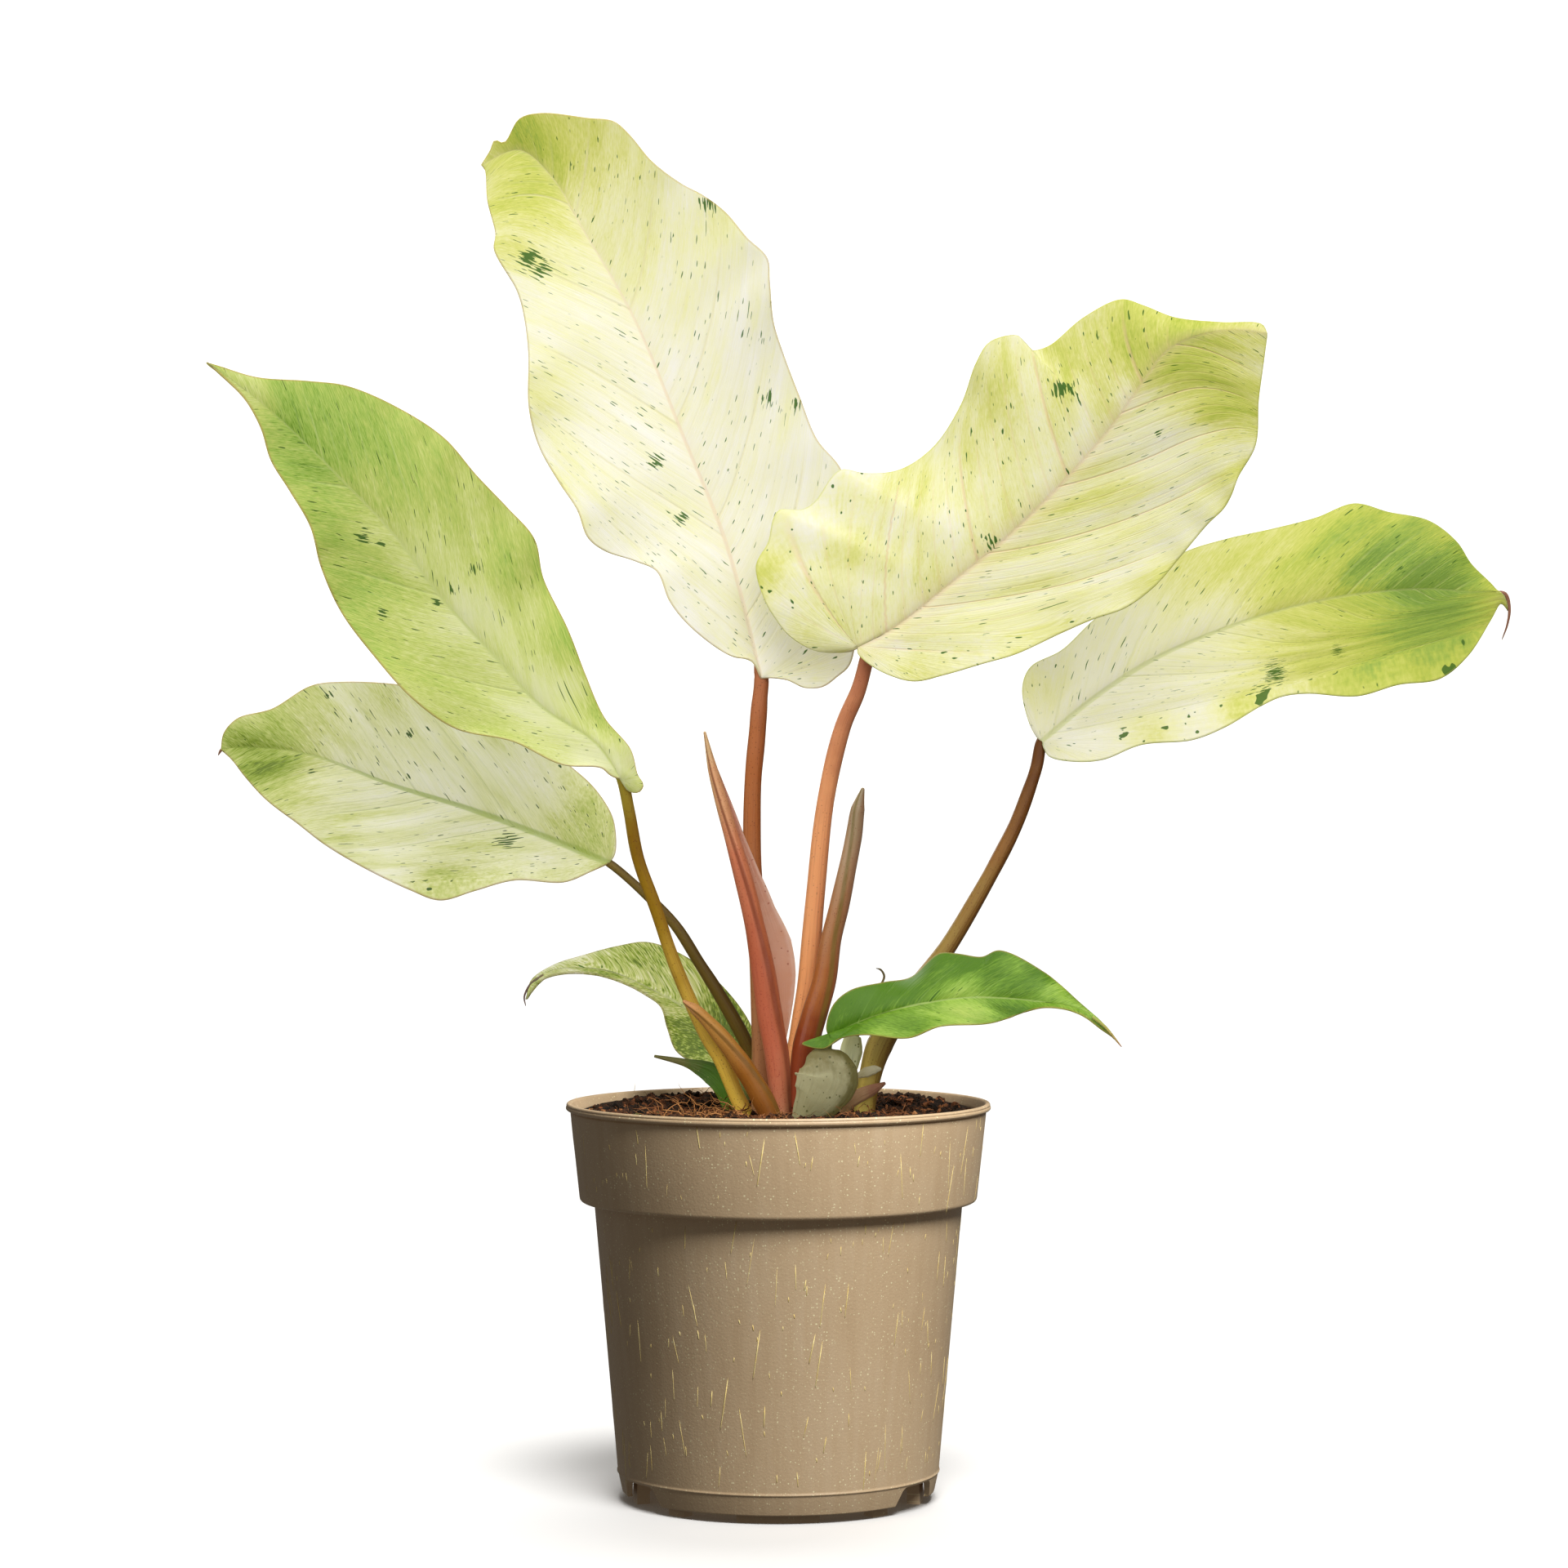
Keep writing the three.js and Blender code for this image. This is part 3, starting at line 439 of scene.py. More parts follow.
class Tree:
    """A node tree under construction, with short calls for the nodes that it needs."""

    def __init__(self, tree: bpy.types.NodeTree) -> None:
        """Takes a node tree and empties it."""
        self.tree = tree
        self.tree.nodes.clear()

    def feed(self, node: bpy.types.Node, inputs: Inputs) -> None:
        """Sets or links some of a node's inputs.

        Args:
            node: The node.
            inputs: A plain number or colour, or what another node gives, by the input's name or place.
        """
        for key, given in inputs.items():
            if isinstance(given, Value):
                self.tree.links.new(given.socket, node.inputs[key])
            else:
                node.inputs[key].default_value = given

    def node(self, kind: str, inputs: Inputs, **settings: object) -> bpy.types.Node:
        """Adds a node.

        Args:
            kind: Blender's name for the node.
            inputs: What its inputs get, as for feed.
            settings: The node's own properties.

        Returns:
            The node.
        """
        node = self.tree.nodes.new(kind)
        for name, setting in settings.items():
            setattr(node, name, setting)
        self.feed(node, inputs)
        return node

    def add(self, kind: str, inputs: Inputs, output: int | str = 0, **settings: object) -> Value:
        """Adds a node, as node does, and gives one of its outputs."""
        return Value(self, self.node(kind, inputs, **settings).outputs[output])

    def sum(self, kind: Maths, first: object, second: object = 0.0) -> Value:
        """Works out a sum of one or two numbers."""
        return self.add("ShaderNodeMath", {0: first, 1: second}, operation=kind.value)

    def vector(self, x: object, y: object, z: object) -> Value:
        """Joins three numbers to a vector."""
        return self.add("ShaderNodeCombineXYZ", {0: x, 1: y, 2: z})

    def parts(self, vector: Value) -> list[Value]:
        """Gives the three parts of a vector or a colour."""
        return [Value(self, part) for part in self.node("ShaderNodeSeparateXYZ", {0: vector}).outputs]

    def noise(self, place: Value, scale: float, detail: float = 2.0, rough: float = 0.5) -> Value:
        """Gives smooth noise round 0.5."""
        inputs = {"Vector": place, "Scale": scale, "Detail": detail, "Roughness": rough}
        return self.add("ShaderNodeTexNoise", inputs)


class Paint(Tree):
    """A material under construction: one main shader, and the colour put on so far."""

    SMALLEST_DOT = 0.35

    def __init__(self, name: str, roughness: float, specular: float) -> None:
        """Makes the material and its shader.

        Args:
            name: The material's name.
            roughness: The roughness where no map changes it.
            specular: The level of the plain gloss.
        """
        self.material = bpy.data.materials.new(name)
        self.material.use_nodes = True
        super().__init__(self.material.node_tree)
        inputs = {"Roughness": roughness, "Specular IOR Level": specular}
        self.shader = self.node("ShaderNodeBsdfPrincipled", inputs)
        self.node("ShaderNodeOutputMaterial", {"Surface": Value(self, self.shader.outputs[0])})

    def attribute(self, name: str) -> list[Value]:
        """Gives the three parts of a vector kept at the piece's points."""
        return self.parts(self.add("ShaderNodeAttribute", {}, "Vector", attribute_name=name))

    def place(self) -> Value:
        """Gives the place on the piece, in metres."""
        return self.add("ShaderNodeTexCoord", {}, "Object")

    def step(self, value: Value, low: float, high: float) -> Value:
        """Rises smoothly from 0 to 1.

        Args:
            value: Any number.
            low: Where it is 0.
            high: Where it is 1. If that is the smaller end, it falls.

        Returns:
            The share.
        """
        first, last = (0.0, 1.0) if low < high else (1.0, 0.0)
        inputs = {0: value, 1: min(low, high), 2: max(low, high), 3: first, 4: last}
        return self.add("ShaderNodeMapRange", inputs, interpolation_type="SMOOTHSTEP")

    def dots(self, place: Value, scale: float, share: float, radius: float) -> Value:
        """Scatters dots of several sizes.

        Args:
            place: Where the surface is.
            scale: Cells for each unit of place.
            share: The share of the cells that hold a dot.
            radius: The largest dot's radius, in cells.

        Returns:
            1 on a dot and 0 off it.
        """
        cells = self.node("ShaderNodeTexVoronoi", {"Vector": place, "Scale": scale})
        chance, size, _ = self.parts(Value(self, cells.outputs["Color"]))
        reach = (size + self.SMALLEST_DOT) * (radius / (1 + self.SMALLEST_DOT))
        inside = self.step(Value(self, cells.outputs["Distance"]) / reach, 1.0, 0.7)
        return inside * chance.above(1 - share)

    def ground(self, value: Value, stops: Stops) -> None:
        """Gives the surface its first colour, from a row of colours.

        Args:
            value: The place in the row, from 0 to 1.
            stops: The row.
        """
        node = self.node("ShaderNodeValToRGB", {0: value})
        elements = node.color_ramp.elements
        while len(elements) < len(stops):
            elements.new(0.5)
        for element, (place, colour) in zip(elements, stops):
            element.position = place
            element.color = linear(colour)
        self.colour = Value(self, node.outputs[0])

    def cover(self, share: Value, amount: float, colour: Colour) -> None:
        """Puts a colour over part of the surface.

        Args:
            share: 1 where the colour goes and 0 elsewhere.
            amount: How much it hides of what is below it.
            colour: The colour.
        """
        inputs = {0: share * amount, 6: self.colour, 7: linear(colour)}
        self.colour = self.add("ShaderNodeMix", inputs, 2, data_type="RGBA")

    def flesh(self, weight: float, radius: Triple, scale: float) -> None:
        """Lets light into the surface, further for some colours than for others.

        Args:
            weight: How much of the light goes in.
            radius: How far red, green and blue go, as shares of scale.
            scale: The distance, in metres.
        """
        names = ("Subsurface Weight", "Subsurface Radius", "Subsurface Scale")
        self.feed(self.shader, dict(zip(names, (weight, radius, scale))))

    def coat(self, weight: float, roughness: float) -> None:
        """Adds a clear wax coat."""
        self.feed(self.shader, {"Coat Weight": weight, "Coat Roughness": roughness})

    def finished(self, height: Value, depth: float, strength: float) -> bpy.types.Material:
        """Puts the colour on and roughens the surface.

        Args:
            height: A height map from 0 to 1.
            depth: What a height of 1 stands for, in metres.
            strength: How much of the relief shows.

        Returns:
            The material.
        """
        relief = self.add("ShaderNodeBump", {"Height": height, "Distance": depth, "Strength": strength})
        self.feed(self.shader, {"Base Color": self.colour, "Normal": relief})
        return self.material


@dataclass(frozen=True)
class BladeFinish:
    """A leaf blade: streaks that run with the veins, over cream, lime and green patches.

    A grain is how often streaky noise repeats across the veins and along them, and its detail.
    """

    name: str
    tones: Stops
    rib: Colour
    rib_share: float = 0.7
    rib_width: float = 1.0
    blush: float = 0.0
    vein: Colour = (232, 226, 180)
    vein_share: float = 0.4
    fleck: Colour = (86, 122, 24)
    fleck_share: float = 0.022
    splash: Colour = (68, 110, 18)
    margin: Colour = (186, 160, 100)
    streaks: float = 0.14
    bands: float = 0.2
    clouds: float = 0.45
    sand: float = 0.2
    roughness: float = 0.46
    seed: float = 0.0

    FINE: ClassVar[Triple] = (2.2, 0.16, 2.0)
    BAND: ClassVar[Triple] = (0.3, 0.05, 3.0)
    CLOUD: ClassVar[Triple] = (0.075, 0.05, 3.0)
    SAND: ClassVar[Triple] = (1.7, 0.7, 3.0)
    CROWD: ClassVar[Triple] = (0.07, 0.05, 2.0)
    STROKE: ClassVar[Triple] = (1.0, 0.3, 1.0)
    RELIEF: ClassVar[Triple] = (2.6, 0.05, 2.0)
    FLECKS: ClassVar[Points] = ((2.6, 0.9, 0.38, 1.3), (1.1, 0.3, 0.29, 1.0))
    BRANCHES: ClassVar[float] = 5.0
    BACK: ClassVar[Colour] = (206, 212, 164)

    def material(self) -> bpy.types.Material:
        """Builds the material, from leaf_grain, leaf_tone and leaf_face of the blade's points.

        Returns:
            The material.
        """
        paint = Paint(self.name, self.roughness, 0.25)
        start, across, vein_place = paint.attribute("leaf_grain")
        tone, splash, edge = paint.attribute("leaf_tone")
        rib, back, along = paint.attribute("leaf_face")

        def streaky(grain: Triple, shift: object = 0.0) -> Value:
            """Gives noise that runs with the veins.

            Args:
                grain: How narrow and how long its streaks are, and its detail.
                shift: How far it is pushed across the veins.

            Returns:
                The noise, round 0.5.
            """
            narrow, long, detail = grain
            place = paint.vector(start * narrow + shift, across * long, self.seed)
            return paint.noise(place, 1.0, detail, 0.55)

        fine = streaky(self.FINE)
        clouds = streaky(self.CLOUD, fine.swing(0.25)).swing(self.clouds)
        total = tone + fine.swing(self.streaks) + streaky(self.BAND).swing(self.bands) + clouds
        total = total + streaky(self.SAND).swing(self.sand) * paint.step(tone, -0.1, 0.5)
        inside = paint.step(edge, 0.0, 14.0)
        on_vein = paint.step(vein_place.off_whole(), 0.03, 0.0) * inside
        on_branch = paint.step((vein_place * self.BRANCHES).off_whole(), 0.12, 0.0) * inside
        on_rib = paint.step(rib, 1.1, 0.5) * (1.0 - paint.step(along, 0.5, 1.0) * 0.8)
        crowd = paint.step(streaky(self.CROWD, 9.0), 0.48, 0.66)
        strokes = streaky(self.STROKE).swing(1.7)
        paint.ground(total, self.tones)
        paint.cover(paint.step(rib, 8.0, 0.5), self.blush, self.rib)
        paint.cover(on_branch, 0.15, self.vein)
        paint.cover(on_vein, self.vein_share, self.vein)
        paint.cover(on_rib, self.rib_share, self.rib)
        for narrow, long, radius, crowding in self.FLECKS:
            place = paint.vector(start * narrow, across * long, self.seed + 4)
            flecks = paint.dots(place, 1.0, self.fleck_share * crowding, radius)
            paint.cover(flecks * crowd, 0.94, self.fleck)
        paint.cover(paint.step(splash + strokes, 0.66, 0.76), 0.95, self.splash)
        paint.cover(paint.step(edge, 0.5, 0.1), 0.5, self.margin)
        paint.cover(back, 0.35, self.BACK)
        paint.flesh(0.35, (1.0, 0.95, 0.4), 0.0013)
        tooth = paint.noise(paint.place(), 900.0) * 0.2
        relief = streaky(self.RELIEF) - on_branch * 0.35 - on_vein * 0.7 + tooth
        return paint.finished(relief, 0.0002, 0.6)


@dataclass(frozen=True)
class StalkFinish:
    """A leaf stalk or a rolled leaf: colours from foot to top, a darker right side of painted shade, and
    specks.
    """

    name: str
    colours: Stops
    # The colour of the painted shade on the stalk's right side.
    side: Colour
    shaded_side_share: float = 0.35
    speck: Colour = (96, 52, 30)
    speck_share: float = 0.25
    seam: Colour | None = None
    seam_turns: float = 0.35
    roughness: float = 0.36
    coat: float = 0.0

    def material(self) -> bpy.types.Material:
        """Builds the material, from stalk_grain of the body's points.

        Returns:
            The material.
        """
        paint = Paint(self.name, self.roughness, 0.18)
        right, back, along = paint.attribute("stalk_grain")
        fibres = paint.noise(paint.vector(right * 5.0, back * 5.0, along * 9.0), 1.0, 3.0, 0.6)
        patches = paint.noise(paint.place(), 90.0, 3.0)
        paint.ground(along + patches.swing(0.125), self.colours)
        # Painted shade: the stalk's right side takes the darker side colour.
        paint.cover(paint.step(right + fibres.swing(0.8), -0.1, 0.9), self.shaded_side_share, self.side)
        paint.cover(paint.step(fibres, 0.55, 0.75), 0.3, self.speck)
        paint.cover(paint.dots(paint.place(), 2200.0, self.speck_share, 0.5), 0.55, self.speck)
        if self.seam is not None:
            turns = back.angle(right) / TURN + along * self.seam_turns
            paint.cover(paint.step(turns.off_whole(), 0.06, 0.01), 0.7, self.seam)
        paint.flesh(0.12, (1.0, 0.45, 0.25), 0.0015)
        paint.coat(self.coat, 0.12)
        return paint.finished(fibres + patches * 0.3, 0.00025, 0.5)


@dataclass(frozen=True)
class ScaleFinish:
    """A scale, sheath or small leaf at the plant's foot."""

    name: str
    colours: Stops
    # The colour of the scale's right side: mostly a darker tone of its own, and on the pink wing a painted
    # highlight.
    edge: Colour
    edge_and_highlight_share: float
    speck: Colour
    speck_share: float = 0.12
    roughness: float = 0.45
    coat: float = 0.0

    def material(self) -> bpy.types.Material:
        """Builds the material, from stalk_grain of the scale's points.

        Returns:
            The material.
        """
        paint = Paint(self.name, self.roughness, 0.25)
        right, _, along = paint.attribute("stalk_grain")
        fibres = paint.noise(paint.vector(right * 7.0, along * 2.0, 1.7), 1.0, 3.0, 0.6)
        patches = paint.noise(paint.place(), 260.0, 3.0, 0.6)
        paint.ground(along + patches.swing(0.25), self.colours)
        # The right side, and fibre streaks all over, take the edge colour, which on the pink wing is a
        # painted highlight.
        paint.cover(paint.step(right + patches.swing(0.3), 0.42, 0.8), self.edge_and_highlight_share, self.edge)
        paint.cover(paint.step(fibres, 0.52, 0.72), 0.35, self.edge)
        paint.cover(paint.dots(paint.place(), 1100.0, self.speck_share, 0.5), 0.8, self.speck)
        paint.flesh(0.2, (1.0, 0.7, 0.4), 0.0015)
        paint.coat(self.coat, 0.1)
        return paint.finished(fibres, 0.0004, 0.6)


@dataclass(frozen=True)
class PlasticFinish:
    """The pot's taupe plastic, with pale specks in it and fine flow lines."""

    name: str = "pot plastic"
    body: Stops = ((0.3, (198, 167, 130)), (0.5, (206, 176, 139)), (0.7, (212, 184, 149)))
    speck: Colour = (250, 236, 190)
    dark_speck: Colour = (120, 96, 66)
    radius: float = 50.0

    def material(self) -> bpy.types.Material:
        """Builds the material, on the place round and up the pot in millimetres.

        Returns:
            The material.
        """
        paint = Paint(self.name, 0.46, 0.42)
        x, y, z = paint.parts(paint.place())
        turn, height = x.angle(y * -1.0) * self.radius, z * (1 / MM)
        flow = paint.noise(paint.vector(turn * 0.35, height * 0.03, 0.0), 1.0, 3.0)
        clouds = paint.noise(paint.place(), 28.0, 3.0)
        crowd = paint.step(paint.noise(paint.place(), 60.0), 0.3, 0.55)
        round_and_up = paint.vector(turn, height, 0.0)
        paint.ground(flow * 0.5 + clouds * 0.5, self.body)
        paint.cover(paint.dots(round_and_up, 1.3, 0.46, 0.36) * crowd, 0.95, self.speck)
        paint.cover(paint.dots(round_and_up, 3.2, 0.24, 0.42), 0.5, self.speck)
        dark = paint.dots(paint.vector(height, turn, 3.0), 3.1, 0.12, 0.35)
        paint.cover(dark, 0.35, self.dark_speck)
        gloss = paint.add("ShaderNodeMapRange", {0: clouds, 1: 0.3, 2: 0.7, 3: 0.36, 4: 0.5})
        paint.feed(paint.shader, {"Roughness": gloss})
        return paint.finished(paint.noise(paint.place(), 1500.0) + flow * 0.8, 0.00009, 0.6)


@dataclass(frozen=True)
class GrainFinish:
    """Soil, crumbs, root fibres and straw: a row of colours spread by noise."""

    name: str
    colours: Stops
    scale: float
    roughness: float = 0.9
    relief: float = 0.0006

    def material(self) -> bpy.types.Material:
        """Builds the material, on the place in the pot.

        Returns:
            The material.
        """
        paint = Paint(self.name, self.roughness, 0.25)
        wide = paint.noise(paint.place(), self.scale, 4.0, 0.65)
        fine = paint.noise(paint.place(), self.scale * 7, 3.0, 0.7)
        paint.ground(wide * 0.6 + fine * 0.4, self.colours)
        return paint.finished(fine, self.relief, 0.8)


class Side(Enum):
    """The two halves of a blade, as seen from the front with its tip up."""

    LEFT = -1
    RIGHT = 1


@dataclass(frozen=True)
class Half:
    """One half of a blade: its edge from base to tip, its fold, and the angle of its veins."""

    edge: Points
    fold: float
    vein_angle: float
    veins: tuple[float, ...]
    curve: float = 0.005


@dataclass(frozen=True)
class StalkPlan:
    """A leaf stalk: drawn points up to the blade, depth at its foot, and a radius at each point."""

    line: Points
    depth: float
    radii: tuple[float, ...]
    top_radius: float
    finish: StalkFinish
    slot: str
    join: float = 0.0


@dataclass(frozen=True)
class LeafPlan:
    """A leaf with its stalk.

    lean tilts the rows of the blade towards its tip, depth is y at its base and tip, and bow bends the
    midrib to the back. wave is the count, height and phase of the margin's waves. A patch is x, z, radius
    and how much greener the blade is there; a few paler patches are painted light over shade cast by
    another leaf. A splash is x, z and radius of a dark fleck.
    """

    name: str
    midrib: Points
    left: Half
    right: Half
    lean: float
    depth: tuple[float, float]
    bow: float
    wave: Triple
    stalk: StalkPlan
    finish: BladeFinish
    slot: str
    tone: float
    patches: Points
    splashes: Points = ()
    tip: Points = ()
    tip_radius: float = 0.6
    tip_colours: Stops = ((0.0, (170, 120, 96)), (1.0, (120, 84, 66)))


class Blade:
    """A leaf blade: a thin closed sheet with a rib behind it and sunken veins."""

    ROWS = 200
    AHEAD = 0.1
    MIDDLE_COLUMNS = (0.0, 0.4, 0.8, 1.2, 1.7, 2.4)
    MIDDLE_SHARE = 0.35
    OUTER_COLUMNS = 24
    OUTER_CROWDING = 1.25
    FAN = 16.0
    FAN_END = 30.0
    SPARE_VEINS = 6
    RIB_HEIGHT = 1.1
    RIB_HALF_WIDTH = 1.6
    RIB_START, RIB_RISE = 0.06, 0.12
    WIDEST = 0.8
    THINNEST = 0.4
    ROUNDNESS = 0.8
    VEIN_SINK = 0.5
    VEIN_SLOPE = 0.75
    MIDRIB_SINK = 0.45
    MIDRIB_REACH = 1.5
    RIPPLE = 0.3
    RIPPLES = 11
    RIM = 0.16
    RIGHT_SHIFT = 0.37
    SPLASH_EDGE = 1.8
    NOTHING = 1e-6

    def __init__(self, plan: LeafPlan) -> None:
        """Draws the blade's midrib and edges.

        Args:
            plan: The leaf's plan.
        """
        self.plan = plan
        self.midrib = SmoothLine(np.array(plan.midrib))
        self.grid = self._grid()

    def depth(self, along: np.ndarray, across: np.ndarray) -> np.ndarray:
        """Gives how far back the blade is.

        Args:
            along: Places from 0 at the base to 1 at the tip.
            across: Places from -1 at the left edge to 1 at the right.

        Returns:
            The depth y at each place.
        """
        plan = self.plan
        fold = np.where(across < 0, plan.left.fold, plan.right.fold)
        count, height, phase = plan.wave
        shift = np.where(across < 0, 0.0, self.RIGHT_SHIFT)
        line = plan.depth[0] + (plan.depth[1] - plan.depth[0]) * along
        middle = line + plan.bow * np.sin(math.pi * along)
        opening = np.sin(math.pi * np.clip(along, 0, 1) ** self.ROUNDNESS)
        waves = height * np.sin(TURN * (count * along + phase + shift))
        return middle + opening * (fold * np.abs(across) ** 1.5 + waves * across**2)

    def columns(self, width: float) -> np.ndarray:
        """Spaces the columns of one row of a half, closer together by the midrib.

        Args:
            width: The half's width there.

        Returns:
            Shares of the width, from the midrib to the edge.
        """
        near = np.array(self.MIDDLE_COLUMNS) / max(width, self.NOTHING)
        near = near * min(1.0, self.MIDDLE_SHARE / max(near[-1], self.NOTHING))
        spread = np.linspace(0, 1, self.OUTER_COLUMNS + 1)[1:]
        outer = near[-1] + (1 - near[-1]) * (1 - (1 - spread) ** self.OUTER_CROWDING)
        return np.concatenate([near, outer])

    def _grid(self) -> dict[str, np.ndarray]:
        """Works out the rows of the sheet.

        Returns:
            Tables of rows and columns by name: drawn points, places, and what the finish reads.
        """
        along = np.linspace(0, 1, self.ROWS + 1)
        share = along**self.plan.lean
        length = self.midrib.lengths[-1]
        middle = self.midrib.along(share)
        ahead, behind = np.minimum(share + self.AHEAD, 1), np.maximum(share - self.AHEAD, 0)
        forward = self.midrib.along(ahead) - self.midrib.along(behind)
        tangent = forward / vector_lengths(forward)
        halves = []
        for side, half in ((Side.LEFT, self.plan.left), (Side.RIGHT, self.plan.right)):
            outline = [self.plan.midrib[0], *half.edge, self.plan.midrib[-1]]
            edge = SmoothLine(np.array(outline)).along(along)
            width = np.linalg.norm(edge - middle, axis=1)
            shares = np.stack([self.columns(w) for w in width])
            drawn = middle[:, None] + (edge - middle)[:, None] * shares[..., None]
            start, reach = self._grain(half, drawn, middle, tangent, share * length)
            halves.append({
                "drawn": drawn,
                "across": side.value * shares,
                "start": start,
                "reach": side.value * reach,
                "off_rib": np.linalg.norm(drawn - middle[:, None], axis=2),
                "edge": width[:, None] * (1 - shares),
                "vein": self._vein_place(start / length, half.veins),
            })
        left, right = halves
        joined = {key: np.concatenate([left[key][:, :0:-1], right[key]], axis=1) for key in left}
        joined["along"] = np.repeat(along[:, None], joined["across"].shape[1], axis=1)
        return joined

    def _grain(self, half: Half, drawn: np.ndarray, middle: np.ndarray, tangent: np.ndarray,
               arc: np.ndarray) -> tuple[np.ndarray, np.ndarray]:
        """Finds the side vein that passes through each point.

        Args:
            half: The half of the blade.
            drawn: The points.
            middle: The midrib's point of each row.
            tangent: The midrib's direction in each row.
            arc: The midrib's length up to each row.

        Returns:
            Where on the midrib the vein starts, in millimetres, and how far along it the point is. Behind
            the blade's base the veins fan out from its first point, and their start is below 0.
        """
        angle = math.radians(half.vein_angle)

        def measured(origin: np.ndarray, direction: np.ndarray) -> tuple[np.ndarray, ...]:
            """Measures the points from a place on the midrib.

            Args:
                origin: The place.
                direction: The midrib's direction there.

            Returns:
                How far ahead, aside and away each point is, and where its vein meets that direction.
            """
            offset = drawn - origin
            ahead = np.sum(offset * direction, axis=2)
            length = np.linalg.norm(offset, axis=2)
            aside = np.sqrt(np.maximum(length**2 - ahead**2, 0))
            return ahead, aside, length, ahead - aside / math.tan(angle) - half.curve * aside**2

        local = measured(middle[:, None], tangent[:, None])
        ahead, aside, length, start = measured(middle[0], tangent[0])
        outward = ahead * math.cos(angle) + aside * math.sin(angle)
        fan = -self.FAN * np.arctan2(-start * math.sin(angle), outward)
        blend = eased(start, 0.0, self.FAN_END)
        joined = start * (1 - blend) + (arc[:, None] + local[3]) * blend
        return np.where(start < 0, fan, joined), length * (1 - blend) + local[2] * blend

    def _vein_place(self, start: np.ndarray, veins: tuple[float, ...]) -> np.ndarray:
        """Counts the side veins up to a place.

        Args:
            start: Where the grain starts, as a share of the midrib's length.
            veins: Where the side veins start.

        Returns:
            A number for each place, whole on a vein.
        """
        gap = (veins[-1] - veins[0]) / max(len(veins) - 1, 1)
        spare = self.SPARE_VEINS
        known = np.array([veins[0] - spare * gap, *veins, veins[-1] + spare * gap])
        numbers = np.array([-spare, *range(len(veins)), len(veins) - 1 + spare], float)
        return np.interp(start, known, numbers)

    def sheet(self) -> np.ndarray:
        """Places the sheet's middle surface, with its margin rippled and its veins sunk.

        Returns:
            Rows of points [x, y, z].
        """
        along, across = self.grid["along"], self.grid["across"]
        off_vein = np.abs((self.grid["vein"] + 0.5) % 1 - 0.5) * 2
        shares = np.abs(across)
        swell = np.sin(math.pi * np.clip(shares, 0, 1) ** self.ROUNDNESS)
        puffed = eased(off_vein, 0.0, self.VEIN_SLOPE) * swell
        depth = self.depth(along, across) - self.VEIN_SINK * puffed * np.sin(math.pi * along) ** 0.5
        sink = np.exp(-((self.grid["off_rib"] / self.MIDRIB_REACH) ** 2)) * (1 - along)
        uneven = 0.6 * np.sin(9 * along) + 0.3 * np.sign(across)
        ripple = np.sin(TURN * (self.RIPPLES * along + uneven)) * shares**5 * np.sin(math.pi * along)
        return EYE.place(self.grid["drawn"], depth + self.MIDRIB_SINK * sink + self.RIPPLE * ripple)

    @staticmethod
    def _normals(rows: np.ndarray) -> np.ndarray:
        """Finds which way is to the front of the sheet.

        Args:
            rows: The rows of points.

        Returns:
            A unit direction for each point.
        """
        normals = np.cross(np.gradient(rows, axis=1), np.gradient(rows, axis=0))
        normals = normals / np.maximum(vector_lengths(normals), 1e-9)
        normals[0] = normals[2].mean(axis=0)
        normals[-1] = normals[-3].mean(axis=0)
        normals /= np.maximum(vector_lengths(normals), 1e-9)
        return -normals if normals[..., 1].mean() > 0 else normals

    def _distance(self, x: float, z: float) -> np.ndarray:
        """Gives how far each drawn point is from a place."""
        return np.linalg.norm(self.grid["drawn"] - np.array([x, z]), axis=2)

    def tone(self) -> np.ndarray:
        """Finds how green the blade is.

        Returns:
            A number for each point: 0 is cream and 1 is deep green.
        """
        greener, paler = (np.ones(self.grid["along"].shape) for _ in range(2))
        for x, z, radius, amount in self.plan.patches:
            spot = abs(amount) * np.exp(-((self._distance(x, z) / radius) ** 2))
            changed = greener if amount > 0 else paler
            changed *= 1 - spot
        return self.plan.tone + paler - greener

    def splashes(self) -> np.ndarray:
        """Finds how near each point is to a dark splash.

        Returns:
            A number for each point, from 0 to 1.
        """
        total = np.zeros(self.grid["along"].shape)
        for x, z, radius in self.plan.splashes:
            total = np.maximum(total, 1 - eased(self._distance(x, z), 0.0, self.SPLASH_EDGE * radius))
        return total

    def shape(self) -> Shape:
        """Closes the sheet with a front, a back with the rib, and a rounded rim between them.

        Returns:
            The body, with the values that its finish reads.
        """
        rows = self.sheet()
        normals = self._normals(rows)
        along, shares = self.grid["along"], np.abs(self.grid["across"])
        half_wall = (self.WIDEST + (self.THINNEST - self.WIDEST) * shares**2) / 2
        swell = np.clip((along - self.RIB_START) / self.RIB_RISE, 0, 1) * (1 - along)
        round_rib = np.sqrt(np.maximum(1 - (self.grid["off_rib"] / self.RIB_HALF_WIDTH) ** 2, 0))
        front = rows + normals * half_wall[..., None]
        back = rows - normals * (half_wall + self.RIB_HEIGHT * swell * round_rib)[..., None]
        rims = [self._rim(rows, column, inner) for column, inner in ((0, 1), (-1, -2))]
        points = np.vstack([front.reshape(-1, 3), back.reshape(-1, 3), *rims])
        values = {
            key: np.vstack([face.reshape(-1, 3), behind.reshape(-1, 3), face[:, 0], face[:, -1]])
            for key, (face, behind) in self._values().items()
        }
        return Shape(points, self._faces(*along.shape), values)

